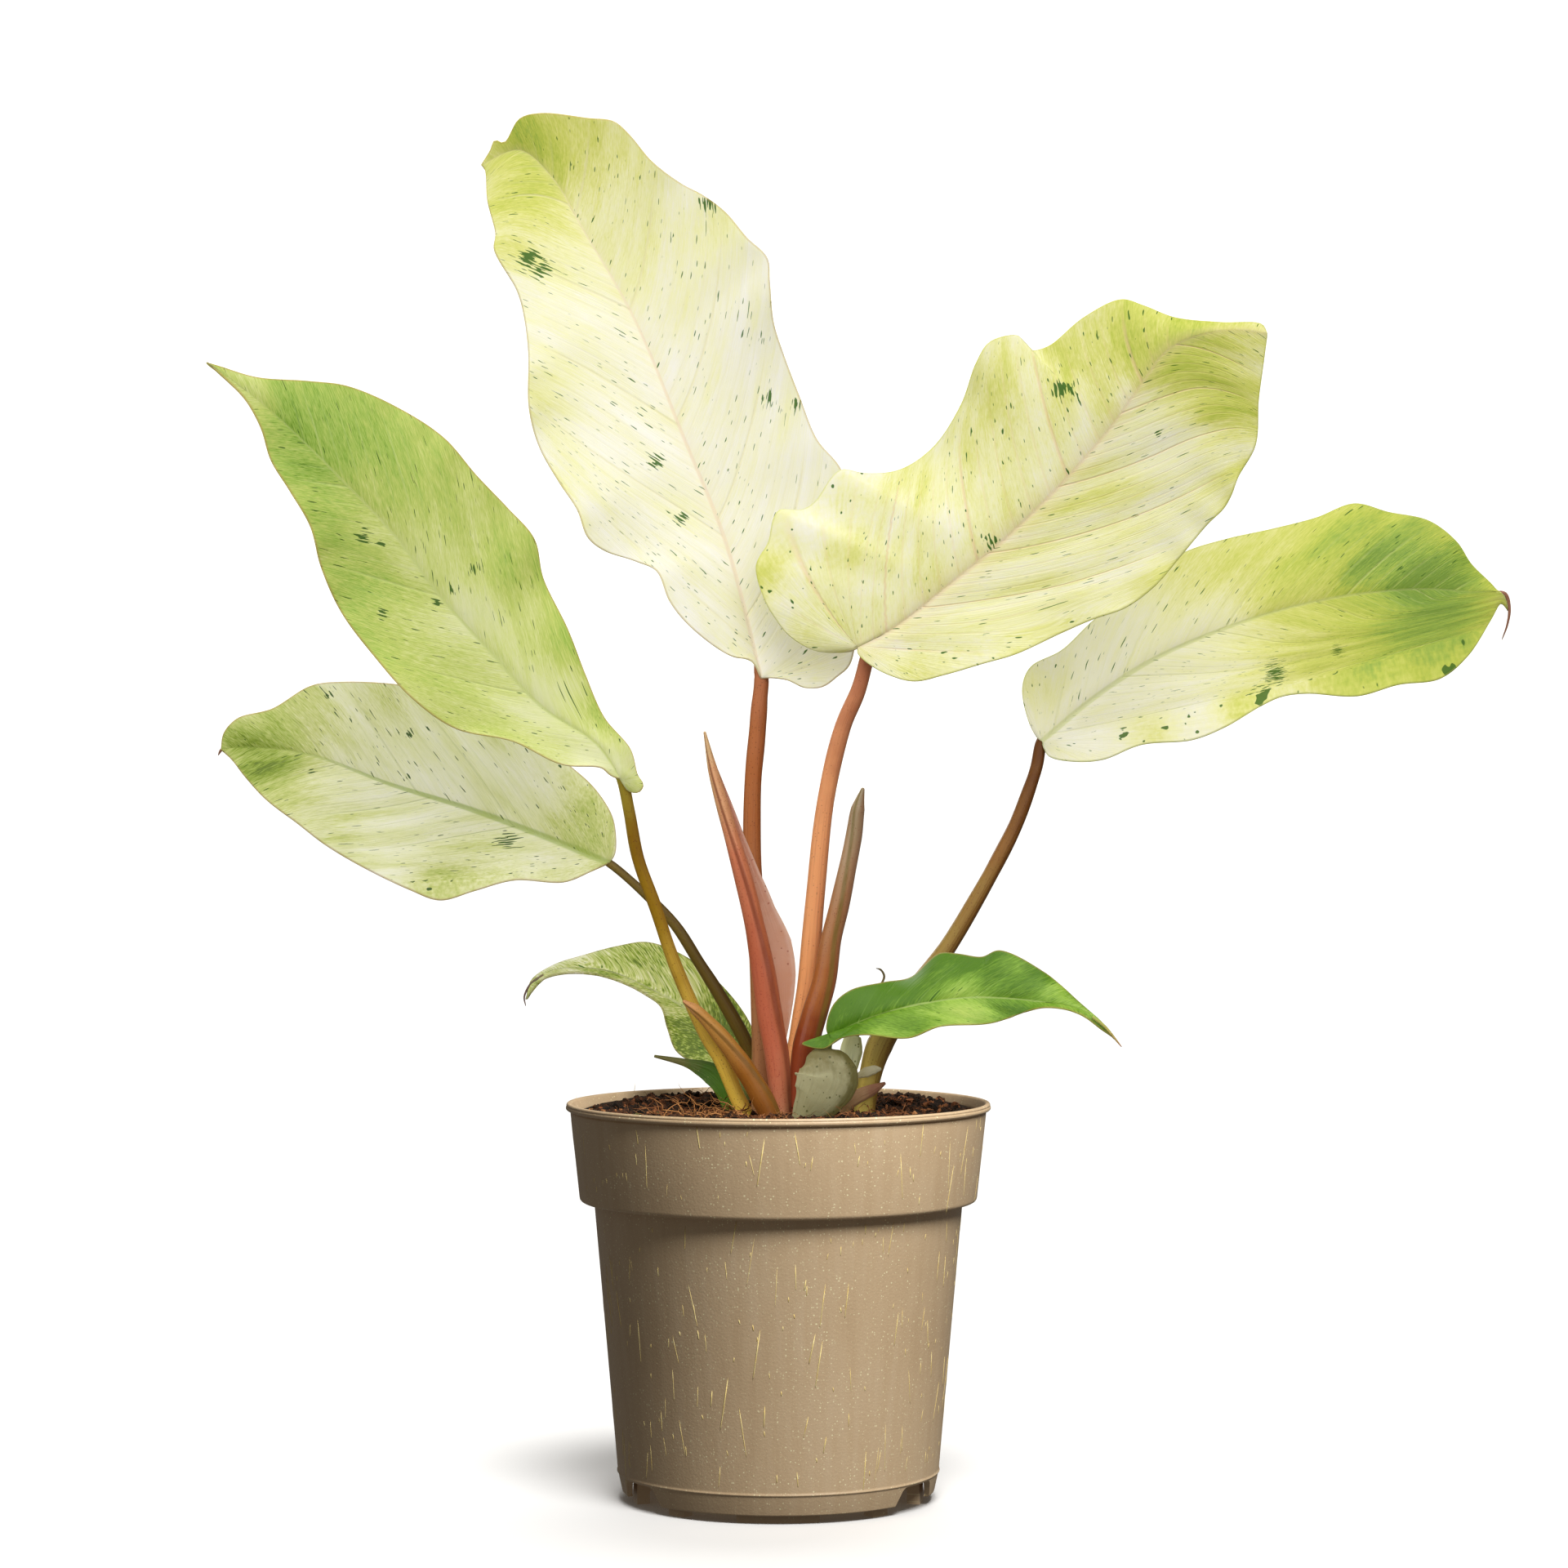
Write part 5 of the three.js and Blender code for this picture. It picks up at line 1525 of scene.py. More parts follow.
LOW_RIGHT = LeafPlan(
    name="low_right", slot="leaf_glossy_green", lean=1.1, depth=(-7.5, -31), bow=2, wave=(2, 1.2, 0.5),
    midrib=((14.5, 129.9), (21.5, 133.4), (34.2, 137.8), (53.1, 141), (72, 140.1), (87.9, 136.6),
        (95.1, 129.5)),
    left=Half(
        edge=((13.6, 132.5), (15.5, 138.9), (20.3, 143.1), (29.8, 145.4), (37.4, 146.8), (45.5, 153.5),
            (50.5, 153.5), (57.5, 152.6), (62.5, 154.4), (75.2, 148.2), (85.4, 139.4), (90.5, 134.8)),
        fold=7, vein_angle=36, veins=(0.1, 0.3, 0.5, 0.7)),
    right=Half(
        edge=((11.3, 129.4), (6.7, 128.1), (12.7, 126.7), (17.1, 129.4), (24, 130.6), (36.7, 129.7),
            (45.5, 132.9), (60, 133.9), (75.2, 138.3), (84.7, 136.6), (91.6, 131.9)),
        fold=-3, vein_angle=36, veins=(0.1, 0.3, 0.5, 0.7)),
    stalk=StalkPlan(
        line=((13, 100), (13.2, 112), (13.6, 122)), depth=-3, radii=(1.5, 1.5, 1.4), top_radius=1.2,
        slot="stalk_green",
        finish=StalkFinish(
            "stalk green right", ((0.1, (124, 134, 66)), (0.9, (118, 140, 70))), side=(96, 100, 48))),
    finish=BladeFinish(
        "leaf glossy green", GREEN_TONES, rib=(176, 200, 112), rib_width=0.4, vein=(150, 184, 90),
        fleck=(196, 206, 120), margin=(168, 140, 74), streaks=0.08, bands=0.1, clouds=0.32, sand=0.2,
        roughness=0.34, seed=17.0),
    tone=0.98,
    patches=((54, 137, 10, -0.36), (30, 132, 8, -0.24), (80, 141, 6, -0.22), (68, 149, 4, -0.12),
        (26, 140, 9, 0.1), (56, 149, 6, 0.14), (88, 137, 6, -0.2), (15, 137, 7, 0.12)),
    tip=((89, 135.6, -30), (92.4, 132.8, -31), (95.4, 129.2, -31.6), (97, 127.2, -31.8)), tip_radius=0.4,
    tip_colours=((0.0, (170, 190, 92)), (0.5, (190, 178, 96)), (1.0, (176, 120, 92))))

LEAVES = (TALL, BROAD, RIGHT, LEFT_UPPER, LEFT_LOWER, DROOPING, LOW_RIGHT)


@dataclass(frozen=True)
class SpearPlan:
    """A rolled new leaf or pointed sheath: centre line [x, z, y] from the foot, radius at each point."""

    name: str
    line: Points
    radii: tuple[float, ...]
    finish: StalkFinish
    slot: str
    packed: bool = True


SPEARS = (
    SpearPlan(
        "spear_left",
        ((1, 100, -4.2), (0.9, 107, -4.2), (0.5, 112.6, -4.2), (-0.5, 124.2, -4.4), (-2.5, 135.7, -4.6),
            (-4.4, 148.4, -5), (-6.7, 161.1, -5.4), (-9.7, 173.8, -5.8), (-12.9, 185.3, -6.2),
            (-15.9, 195.7, -6.6), (-18.7, 206.1, -7), (-20.8, 216, -7.4)),
        (2.7, 2.8, 3, 3.4, 3.7, 3.4, 2.9, 2.6, 2.2, 1.9, 1.4, 0.4),
        StalkFinish(
            "spear red",
            ((0.05, (200, 136, 100)), (0.3, (194, 104, 74)), (0.5, (186, 98, 66)), (0.72, (214, 130, 94)),
                (0.86, (224, 168, 122)), (0.97, (222, 186, 136))),
            side=(150, 88, 50), speck=(150, 60, 50), speck_share=0.5, seam=(128, 62, 40), coat=0.15),
        "spear_red"),
    SpearPlan(
        "spear_right",
        ((5.4, 100, -0.5), (5.6, 109.2, -0.5), (6, 118.4, -0.7), (7.6, 127.6, -1), (10.2, 136.9, -1.4),
            (12.9, 146.1, -1.8), (14.8, 157.6, -2.2), (17.1, 166.9, -2.6), (19.2, 176.6, -3),
            (21.2, 186.5, -3.4), (22.4, 194.6, -3.8), (23.8, 199.9, -4)),
        (2.5, 2.5, 2.9, 3.6, 3.7, 3.3, 3, 2.8, 2.6, 2.4, 2, 0.6),
        StalkFinish(
            "spear brown",
            ((0.1, (156, 72, 44)), (0.3, (134, 58, 22)), (0.45, (168, 98, 44)), (0.6, (172, 122, 80)),
                (0.82, (174, 144, 110)), (0.95, (150, 132, 100))),
            side=(150, 84, 66), speck=(120, 60, 44), speck_share=0.35, seam=(112, 96, 34), coat=0.4),
        "spear_brown"),
    SpearPlan(
        "sheath_orange",
        ((-2, 100, -10), (-2.2, 106.9, -10), (-5.3, 113.8, -10), (-9.5, 120.7, -10), (-13.8, 126.9, -10),
            (-18.7, 132.9, -10.2), (-23.3, 137.6, -10.4), (-26.5, 139.9, -10.6)),
        (2.8, 3, 3.1, 2.9, 2.6, 2.1, 1.6, 0.6),
        StalkFinish(
            "sheath orange",
            ((0.1, (124, 70, 26)), (0.4, (152, 94, 32)), (0.75, (188, 136, 66)), (0.97, (206, 150, 100))),
            side=(150, 104, 40), speck=(110, 66, 28), seam=(118, 84, 36)),
        "sheath_orange"),
    SpearPlan(
        "strand_dry",
        ((20.6, 124, 1.1), (22.6, 131, 1.3), (25.4, 138, 1.6), (28.6, 144, 1.9), (29.9, 147.2, 2),
            (28.9, 149, 1.9), (27.7, 149.4, 1.6)),
        (0.5, 0.45, 0.4, 0.36, 0.34, 0.3, 0.12),
        StalkFinish("strand dry", ((0.2, (132, 120, 70)), (0.8, (96, 88, 56))), side=(80, 66, 40)),
        "sheath_brown", packed=False))


@dataclass(frozen=True)
class ScalePlan:
    """A flat scale: centre line [x, z, y], half width at each point, thickness, cup and turn."""

    name: str
    line: Points
    halves: tuple[float, ...]
    thickness: float
    cup: float
    turn: float
    finish: ScaleFinish
    slot: str
    packed: bool = True


SCALES = (
    ScalePlan(
        "leaf_base_pale",
        ((7.2, 100, -10.5), (7.6, 107.5, -10.5), (11, 112.6, -10.4), (13.6, 118.2, -10),
            (13.2, 122.5, -9.6), (12.3, 125.4, -9.2), (12, 127, -9)),
        (3, 3.8, 7.2, 9.4, 7.3, 4.4, 1.6), 1, 0.22, 8,
        ScaleFinish(
            "leaf base pale", ((0.1, (142, 136, 96)), (0.5, (168, 164, 126)), (0.76, (120, 112, 68))),
            edge=(96, 90, 40), edge_and_highlight_share=0.85, speck=(80, 80, 42), speck_share=0.2),
        "leaf_pale"),
    ScalePlan(
        "leaf_base_dark",
        ((-13, 100, 8), (-13.6, 108, 8), (-15.6, 115.4, 8), (-18.6, 119.4, 8.3), (-22.4, 121.4, 8.8),
            (-26.6, 122.8, 9.4), (-35, 124.6, 11)),
        (1.4, 1.6, 2.6, 3.2, 2.2, 1.1, 0.4), 0.8, -0.15, 0,
        ScaleFinish(
            "leaf base dark", ((0.2, (76, 118, 20)), (0.6, (64, 98, 22)), (0.9, (104, 100, 50))),
            edge=(46, 70, 14), edge_and_highlight_share=0.5, speck=(120, 130, 70), roughness=0.35),
        "leaf_dark"),
    ScalePlan(
        "spear_left_wing",
        ((0.6, 127.5, -1.6), (1, 137, -1.6), (0.9, 147, -1.8), (-0.8, 156.5, -2), (-3.6, 166, -2.5),
            (-7.2, 176, -3.3), (-10.9, 186, -4.2), (-14.3, 196, -5.2), (-17.4, 205.5, -6.2)),
        (1.2, 2.7, 4.1, 4.5, 2.8, 2, 1.6, 1.1, 0.4), 0.7, 0, 0,
        ScaleFinish(
            "sheath pink", ((0.1, (200, 144, 114)), (0.45, (202, 154, 130)), (0.9, (178, 114, 88))),
            # The pale edge colour is a painted highlight along the wing's right side.
            edge=(212, 174, 156), edge_and_highlight_share=0.5, speck=(160, 96, 78), speck_share=0.1, roughness=0.24,
            coat=0.8),
        "sheath_pink"),
    ScalePlan(
        "sheath_dry",
        ((18.5, 106, -2.2), (19.6, 110.6, -2.2), (22.6, 113.2, -2), (26.4, 115, -2), (30.2, 117, -2.2)),
        (1.2, 1.6, 2, 1.7, 0.4), 0.7, 0.1, 0,
        ScaleFinish(
            "sheath brown", ((0.2, (124, 96, 58)), (0.6, (158, 122, 88)), (0.9, (132, 88, 66))),
            edge=(98, 70, 44), edge_and_highlight_share=0.5, speck=(80, 54, 34), roughness=0.6),
        "sheath_brown"),
    ScalePlan(
        "sheath_flap", ((22.6, 119, 0.6), (24.8, 120, 0.25), (27.4, 120.8, 0.25), (29, 120.9, 0.7)),
        (0.8, 1.5, 1.2, 0.4), 0.6, 0.1, 0,
        ScaleFinish(
            "sheath papery", ((0.2, (176, 168, 130)), (0.8, (206, 200, 168))), edge=(150, 134, 96),
            edge_and_highlight_share=0.4, speck=(120, 100, 66), roughness=0.5),
        "sheath_papery"),
    ScalePlan(
        "sheath_pale",
        ((18.4, 103, 1.5), (18.7, 112, 1.5), (19.8, 120, 1.2), (20.6, 126, 1), (21, 130, 0.8)),
        (1.2, 1.8, 2.2, 3.3, 2.4), 0.7, 0.1, 0,
        ScaleFinish(
            # Its pale colours are partly its own and partly painted light that lifts the shade it sits in.
            "sheath pale", ((0.2, (190, 192, 148)), (0.6, (212, 214, 172)), (0.9, (204, 206, 154))),
            edge=(128, 130, 70), edge_and_highlight_share=0.6, speck=(110, 116, 66)),
        "leaf_pale"))


class Foot:
    """The rolled leaves, sheaths and scales at the plant's foot."""

    SPEAR_SIDES, SPEAR_RINGS, SPEAR_CAP = 40, 8, 1.0
    SCALE_SIDES, SCALE_RINGS, SCALE_CAP = 36, 10, 0.25
    LAP_TURNS = 0.35

    def spear(self, plan: SpearPlan) -> Shape:
        """Sweeps a rolled leaf, whose radius steps down where its margin lies.

        Args:
            plan: The rolled leaf's plan.

        Returns:
            The body.
        """
        places = np.linspace(0, 1, len(plan.radii))

        def section(angles: np.ndarray, along: float) -> tuple[np.ndarray, np.ndarray]:
            """Draws the section.

            Args:
                angles: The angles round it.
                along: The place along the body.

            Returns:
                Offsets to the right and back.
            """
            turn = (angles / TURN + self.LAP_TURNS * along) % 1
            lap = 1 + 0.16 * (0.4 - turn) - 0.05 * np.exp(-((turn / 0.03) ** 2))
            radius = float(np.interp(along, places, plan.radii)) * lap
            radius = radius * (1 + 0.02 * math.sin(31 * along))
            return radius * np.cos(angles), radius * np.sin(angles)

        rings = (len(plan.line) - 1) * self.SPEAR_RINGS
        return swept(EYE.all(plan.line), section, self.SPEAR_SIDES, rings, self.SPEAR_CAP)

    def scale(self, plan: ScalePlan) -> Shape:
        """Sweeps a flat scale with thin edges, a cupped middle and an uneven margin.

        Args:
            plan: The scale's plan.

        Returns:
            The body.
        """
        places = np.linspace(0, 1, len(plan.halves))
        cosine, sine = math.cos(math.radians(plan.turn)), math.sin(math.radians(plan.turn))

        def section(angles: np.ndarray, along: float) -> tuple[np.ndarray, np.ndarray]:
            """Draws the section.

            Args:
                angles: The angles round it.
                along: The place along the body.

            Returns:
                Offsets to the right and back.
            """
            half = float(np.interp(along, places, plan.halves))
            half *= 1 + 0.015 * math.sin(23 * along) + 0.01 * math.sin(47 * along)
            side = np.sign(np.cos(angles)) * np.abs(np.cos(angles)) ** 0.7
            wall = np.sign(np.sin(angles)) * np.abs(np.sin(angles)) ** 0.6
            thick = plan.thickness * (1 - 0.45 * side**2)
            ripple = 0.06 * np.sin(7 * along + 3 * side) * np.abs(side)
            sideways = half * side
            backwards = thick / 2 * wall - plan.cup * half * (1 - side**2) + ripple
            return sideways * cosine - backwards * sine, sideways * sine + backwards * cosine

        rings = (len(plan.line) - 1) * self.SCALE_RINGS
        return swept(EYE.all(plan.line), section, self.SCALE_SIDES, rings, self.SCALE_CAP)

    def make(self) -> None:
        """Builds every rolled leaf, sheath and scale, and keeps them."""
        for plan in (*SPEARS, *SCALES):
            body = self.spear(plan) if isinstance(plan, SpearPlan) else self.scale(plan)
            piece = body.build(f"{plan.name}_fine", plan.finish.material())
            keep(piece, Group.PLANT, plan.slot, *([plan.name] if plan.packed else []))


@dataclass
class Pot:
    """The nursery pot: a turned wall with a stepped collar, three notches and its foot pads."""

    lip_radius: float = 60.0
    height: float = 111.7
    wall: float = 1.4
    collar_top: float = 58.7
    collar_end: float = 108.9
    collar_foot: float = 56.4
    collar_z: float = 84.0
    body_top: float = 52.0
    body_foot: float = 45.2
    skirt_top: float = 8.2
    skirt_foot: float = 2.3
    skirt_radius: float = 44.0
    plate: float = 8.0
    plate_top: float = 9.6
    overlap: float = 0.5
    segments: int = 192
    sharp_angle: float = 38.0
    notch_angles: tuple[float, ...] = (60, 180, 300)
    notch_reach: tuple[float, float] = (41.6, 49.6)
    wide_pads: tuple[float, ...] = (0, 120, 240)
    narrow_pads: tuple[float, ...] = (43, 77, 163, 197, 283, 317)
    pad_radii: tuple[float, float] = (41.2, 37.6)
    wide_half: float = 16.0
    narrow_half: float = 4.0
    middle_pad: float = 12.0
    drains: int = 6
    drain_ring: float = 26.0
    drain_radius: float = 3.5
    drain_span: tuple[float, float] = (5.0, 12.0)

    ARCH: ClassVar[Points] = (
        (-10, -1), (10, -1), (10, 2.3), (8.9, 4.6), (7.9, 6.6), (7.1, 7.3), (6.2, 7.6),
        (-6.2, 7.6), (-7.1, 7.3), (-7.9, 6.6), (-8.9, 4.6), (-10, 2.3),
    )

    def profile(self) -> list[Triple]:
        """Draws the wall's corners from the middle of the floor out, up and back.

        Returns:
            Radius, height, and how much each corner is rounded.
        """
        lip, collar, foot = self.lip_radius, self.collar_z, self.skirt_foot
        inner = self.skirt_radius - self.wall
        return [
            (0, self.plate, 0), (inner + 0.5, self.plate, 0.3), (inner, foot, 0.3),
            (self.skirt_radius, foot, 0.5), (self.body_foot, self.skirt_top - 0.5, 0.2),
            (self.body_foot + 0.42, self.skirt_top - 0.05, 0.25),
            (self.body_foot + 0.15, self.skirt_top + 0.5, 0.3),
            (self.body_top, collar, 0.8), (self.collar_foot - 0.4, collar, 1.2),
            (self.collar_top, self.collar_end, 0.5), (self.collar_top - 0.35, 109.35, 0.15),
            (lip - 0.5, 109.6, 0.25), (lip, 110, 0.3), (lip - 0.02, 110.6, 0.25),
            (lip - 0.28, 110.85, 0.15), (lip - 0.12, 111.15, 0.2), (lip - 0.45, self.height, 0.4),
            (lip - 1.5, self.height - 0.05, 0.5), (lip - 1.95, 110.8, 0.4),
            (self.collar_top - self.wall, 109, 0.5), (self.collar_foot - self.wall, collar + 2.2, 1.0),
            (self.body_top - self.wall, collar + self.wall, 0.8),
            (self.body_foot - self.wall + 0.2, self.plate_top, 1.0), (0, self.plate_top, 0),
        ]

    def radius_at(self, height: float) -> float:
        """Measures the outside of the body, or of the collar above it.

        Args:
            height: The height on the wall.

        Returns:
            The radius there.
        """
        heights = (self.skirt_top + 0.5, self.collar_z, self.collar_z + 0.1, self.collar_end)
        radii = (self.body_foot + 0.15, self.body_top, self.collar_foot - 0.4, self.collar_top)
        return float(np.interp(height, heights, radii))

    @staticmethod
    def rounded(corners: list[Triple], steps: int = 4) -> list[np.ndarray]:
        """Rounds each corner of a profile with a short curve.

        Args:
            corners: The corners, as profile gives them.
            steps: Spans in each curve.

        Returns:
            Points [radius, height].
        """
        result = [np.array(corners[0][:2])]
        for before, corner, after in zip(corners, corners[1:], corners[2:]):
            here = np.array(corner[:2], float)
            towards = [np.array(other[:2]) - here for other in (before, after)]
            cuts = [min(corner[2], np.linalg.norm(way) / 2.2) for way in towards]
            start, end = (here + way / np.linalg.norm(way) * cut for way, cut in zip(towards, cuts))
            for share in np.linspace(0, 1, steps + 1):
                result.append((1 - share) ** 2 * start + 2 * share * (1 - share) * here + share**2 * end)
        return [*result, np.array(corners[-1][:2])]

    @staticmethod
    def block(outline: Points, low: float, high: float) -> Shape:
        """Raises a closed outline.

        Args:
            outline: Points [x, y].
            low: The height of its foot.
            high: The height of its top.

        Returns:
            The block.
        """
        count = len(outline)
        points = np.array([(x, y, z) for z in (low, high) for x, y in outline], float)
        ends = [tuple(range(count))[::-1], tuple(range(count, 2 * count))]
        return Shape(points, ring_faces(2, count) + ends)

    @staticmethod
    def arc(radius: float, turns: Iterable[float], x: float = 0.0, y: float = 0.0) -> list[tuple]:
        """Draws points at angles round a centre, in the order that they are given."""
        return [(x + radius * math.cos(turn), y + radius * math.sin(turn)) for turn in turns]

    def notch(self, angle: float) -> Shape:
        """Makes the cutter of one arched notch: wide at the foot, narrow and rounded at its top.

        Args:
            angle: Where it is round the pot, in degrees.

        Returns:
            The cutter.
        """
        shape = self.block(self.ARCH, *self.notch_reach)
        x, z, out = shape.points.T
        cosine, sine = math.cos(math.radians(angle)), math.sin(math.radians(angle))
        shape.points = np.stack([x * cosine + out * sine, x * sine - out * cosine, z], axis=1)
        return shape

    def pad(self, angle: float, half: float) -> Shape:
        """Makes a foot pad: a sector of a ring that reaches up into the plate.

        Args:
            angle: Where its middle is round the pot, in degrees from the front.
            half: Half the angle that it covers.

        Returns:
            The pad.
        """
        turns = np.radians(angle - 90 + np.linspace(-half, half, 9))
        outer, inner = self.pad_radii
        return self.block(self.arc(outer, turns) + self.arc(inner, turns[::-1]), 0, self.plate + self.overlap)

    def disc(self, x: float, y: float, radius: float, low: float, high: float) -> Shape:
        """Makes an upright round block."""
        return self.block(self.arc(radius, TURN * np.arange(48) / 48, x, y), low, high)

    def make(self) -> bpy.types.Object:
        """Builds the pot with its pads, notches and drain holes, and keeps it.

        Returns:
            The pot.
        """
        plastic = PlasticFinish().material()
        pot = turned(self.rounded(self.profile()), self.segments).build("pot_fine", plastic)
        pads = [self.pad(angle, self.wide_half) for angle in self.wide_pads]
        pads += [self.pad(angle, self.narrow_half) for angle in self.narrow_pads]
        pads.append(self.disc(0, 0, self.middle_pad, 0, self.plate + self.overlap))
        cutters = [self.notch(angle) for angle in self.notch_angles]
        turns = TURN * (np.arange(self.drains) + 0.5) / self.drains
        for x, y in self.arc(self.drain_ring, turns):
            cutters.append(self.disc(x, y, self.drain_radius, *self.drain_span))
        self._combine(pot, pads, "UNION", plastic)
        self._combine(pot, cutters, "DIFFERENCE", plastic)
        pot.data.set_sharp_from_angle(angle=math.radians(self.sharp_angle))
        return keep(pot, Group.POT, "pot_plastic", "pot")

    @staticmethod
    def _combine(pot: bpy.types.Object, shapes: list[Shape], operation: str,
                 material: bpy.types.Material) -> None:
        """Joins or cuts the pot with simple shapes, and takes the shapes away again.

        Args:
            pot: The pot.
            shapes: The simple shapes.
            operation: Blender's name for the change.
            material: What the shapes wear.
        """
        group = bpy.data.collections.new("pot tools")
        bpy.context.scene.collection.children.link(group)
        for number, shape in enumerate(shapes):
            tool = shape.build(f"pot_tool_{number}", material)
            bpy.context.scene.collection.objects.unlink(tool)
            group.objects.link(tool)
        change = pot.modifiers.new("combine", "BOOLEAN")
        change.operation, change.operand_type = operation, "COLLECTION"
        change.collection, change.solver = group, "EXACT"
        mesh = evaluated(pot)
        pot.modifiers.remove(change)
        pot.data = mesh
        mesh.shade_smooth()
        for tool in list(group.objects):
            bpy.data.objects.remove(tool)
        bpy.data.collections.remove(group)


class Growth(Tree):
    """A Geometry Nodes tree that scatters small shapes over a carrier mesh."""

    FULL_TURN = 6.28

    def __init__(self, name: str, material: bpy.types.Material, density: float, seed: int) -> None:
        """Makes the tree with its inputs and scatters its points.

        Args:
            name: The tree's name.
            material: What the copies wear.
            density: Copies for each square metre.
            seed: The seed of the random draws.
        """
        super().__init__(bpy.data.node_groups.new(name, "GeometryNodeTree"))
        self.material, self.seed = material, seed
        self.given: dict[str, object] = {}
        for way in ("OUTPUT", "INPUT"):
            self.tree.interface.new_socket("Geometry", in_out=way, socket_type="NodeSocketGeometry")
        self.entry = self.tree.nodes.new("NodeGroupInput")
        self.dress = self.asked("Material", material, "NodeSocketMaterial")
        inputs = {
            "Mesh": Value(self, self.entry.outputs["Geometry"]),
            "Density": self.asked("Density", density),
            "Seed": self.asked("Seed", seed, "NodeSocketInt"),
        }
        self.points = self.node("GeometryNodeDistributePointsOnFaces", inputs)

    def asked(self, name: str, value: object, kind: str = "NodeSocketFloat") -> Value:
        """Adds a named input.

        Args:
            name: The input's name.
            value: What it is used with.
            kind: Blender's name for its type.

        Returns:
            The input.
        """
        item = self.tree.interface.new_socket(name, in_out="INPUT", socket_type=kind)
        self.given[item.identifier] = value
        return Value(self, self.entry.outputs[name])

    def random(self, low: object, high: object, step: int) -> Value:
        """Gives a random number for each point, from a seed that is step further than the tree's."""
        inputs = {2: low, 3: high, 8: self.seed + step}
        return self.add("FunctionNodeRandomValue", inputs, 1, data_type="FLOAT")

    def turns(self, low: Triple, high: Triple, step: int) -> Value:
        """Gives a random rotation for each point.

        Args:
            low: The smallest Euler angles.
            high: The largest ones.
            step: How far its seed is from the tree's.

        Returns:
            The rotation.
        """
        inputs = {0: low, 1: high, 8: self.seed + step}
        euler = self.add("FunctionNodeRandomValue", inputs, data_type="FLOAT_VECTOR")
        return self.add("FunctionNodeEulerToRotation", {0: euler})

    def shaken(self, geometry: Value, scale: float, reach: Value) -> Value:
        """Moves every point by smooth noise, so that no two copies stay alike.

        Args:
            geometry: What is moved.
            scale: Waves of the noise for each metre.
            reach: How far a point moves.

        Returns:
            The moved geometry.
        """
        place = self.add("GeometryNodeInputPosition", {})
        drift = self.add("ShaderNodeTexNoise", {"Vector": place, "Scale": scale, "Detail": 1.0}, 1)
        centred = self.add("ShaderNodeVectorMath", {0: drift, 1: (0.5, 0.5, 0.5)}, operation="SUBTRACT")
        offset = self.add("ShaderNodeVectorMath", {0: centred, "Scale": reach}, operation="SCALE")
        return self.add("GeometryNodeSetPosition", {"Geometry": geometry, "Offset": offset})

    def copies(self, shape: Value, rotation: Value, scale: Value) -> Value:
        """Puts a copy on every point.

        Args:
            shape: What is copied.
            rotation: How each copy is turned.
            scale: How large it is.

        Returns:
            The copies, as real geometry.
        """
        points = Value(self, self.points.outputs[0])
        inputs = {"Points": points, "Instance": shape, "Rotation": rotation, "Scale": scale}
        placed_copies = self.add("GeometryNodeInstanceOnPoints", inputs)
        return self.add("GeometryNodeRealizeInstances", {"Geometry": placed_copies})

    def finish(self, geometry: Value, smooth: bool) -> "Growth":
        """Shades the result, gives it its material and ends the tree.

        Args:
            geometry: The result.
            smooth: Whether light runs smoothly over its edges.

        Returns:
            The same tree.
        """
        shaded = self.add("GeometryNodeSetShadeSmooth", {"Geometry": geometry, "Shade Smooth": smooth})
        dressed = self.add("GeometryNodeSetMaterial", {"Geometry": shaded, "Material": self.dress})
        self.node("NodeGroupOutput", {0: dressed})
        return self

    def grow(self, name: str, carrier: Shape) -> bpy.types.Object:
        """Runs the tree on a carrier and keeps only what grew.

        Args:
            name: The piece's name.
            carrier: The surface to grow on.

        Returns:
            The piece, as a plain mesh.
        """
        bed = carrier.build(f"{name}_bed", self.material)
        growing = bed.modifiers.new("growth", "NODES")
        growing.node_group = self.tree
        for identifier, value in self.given.items():
            growing[identifier] = value
        mesh = evaluated(bed)
        bpy.data.objects.remove(bed)
        mesh.name = name
        return placed(name, mesh)


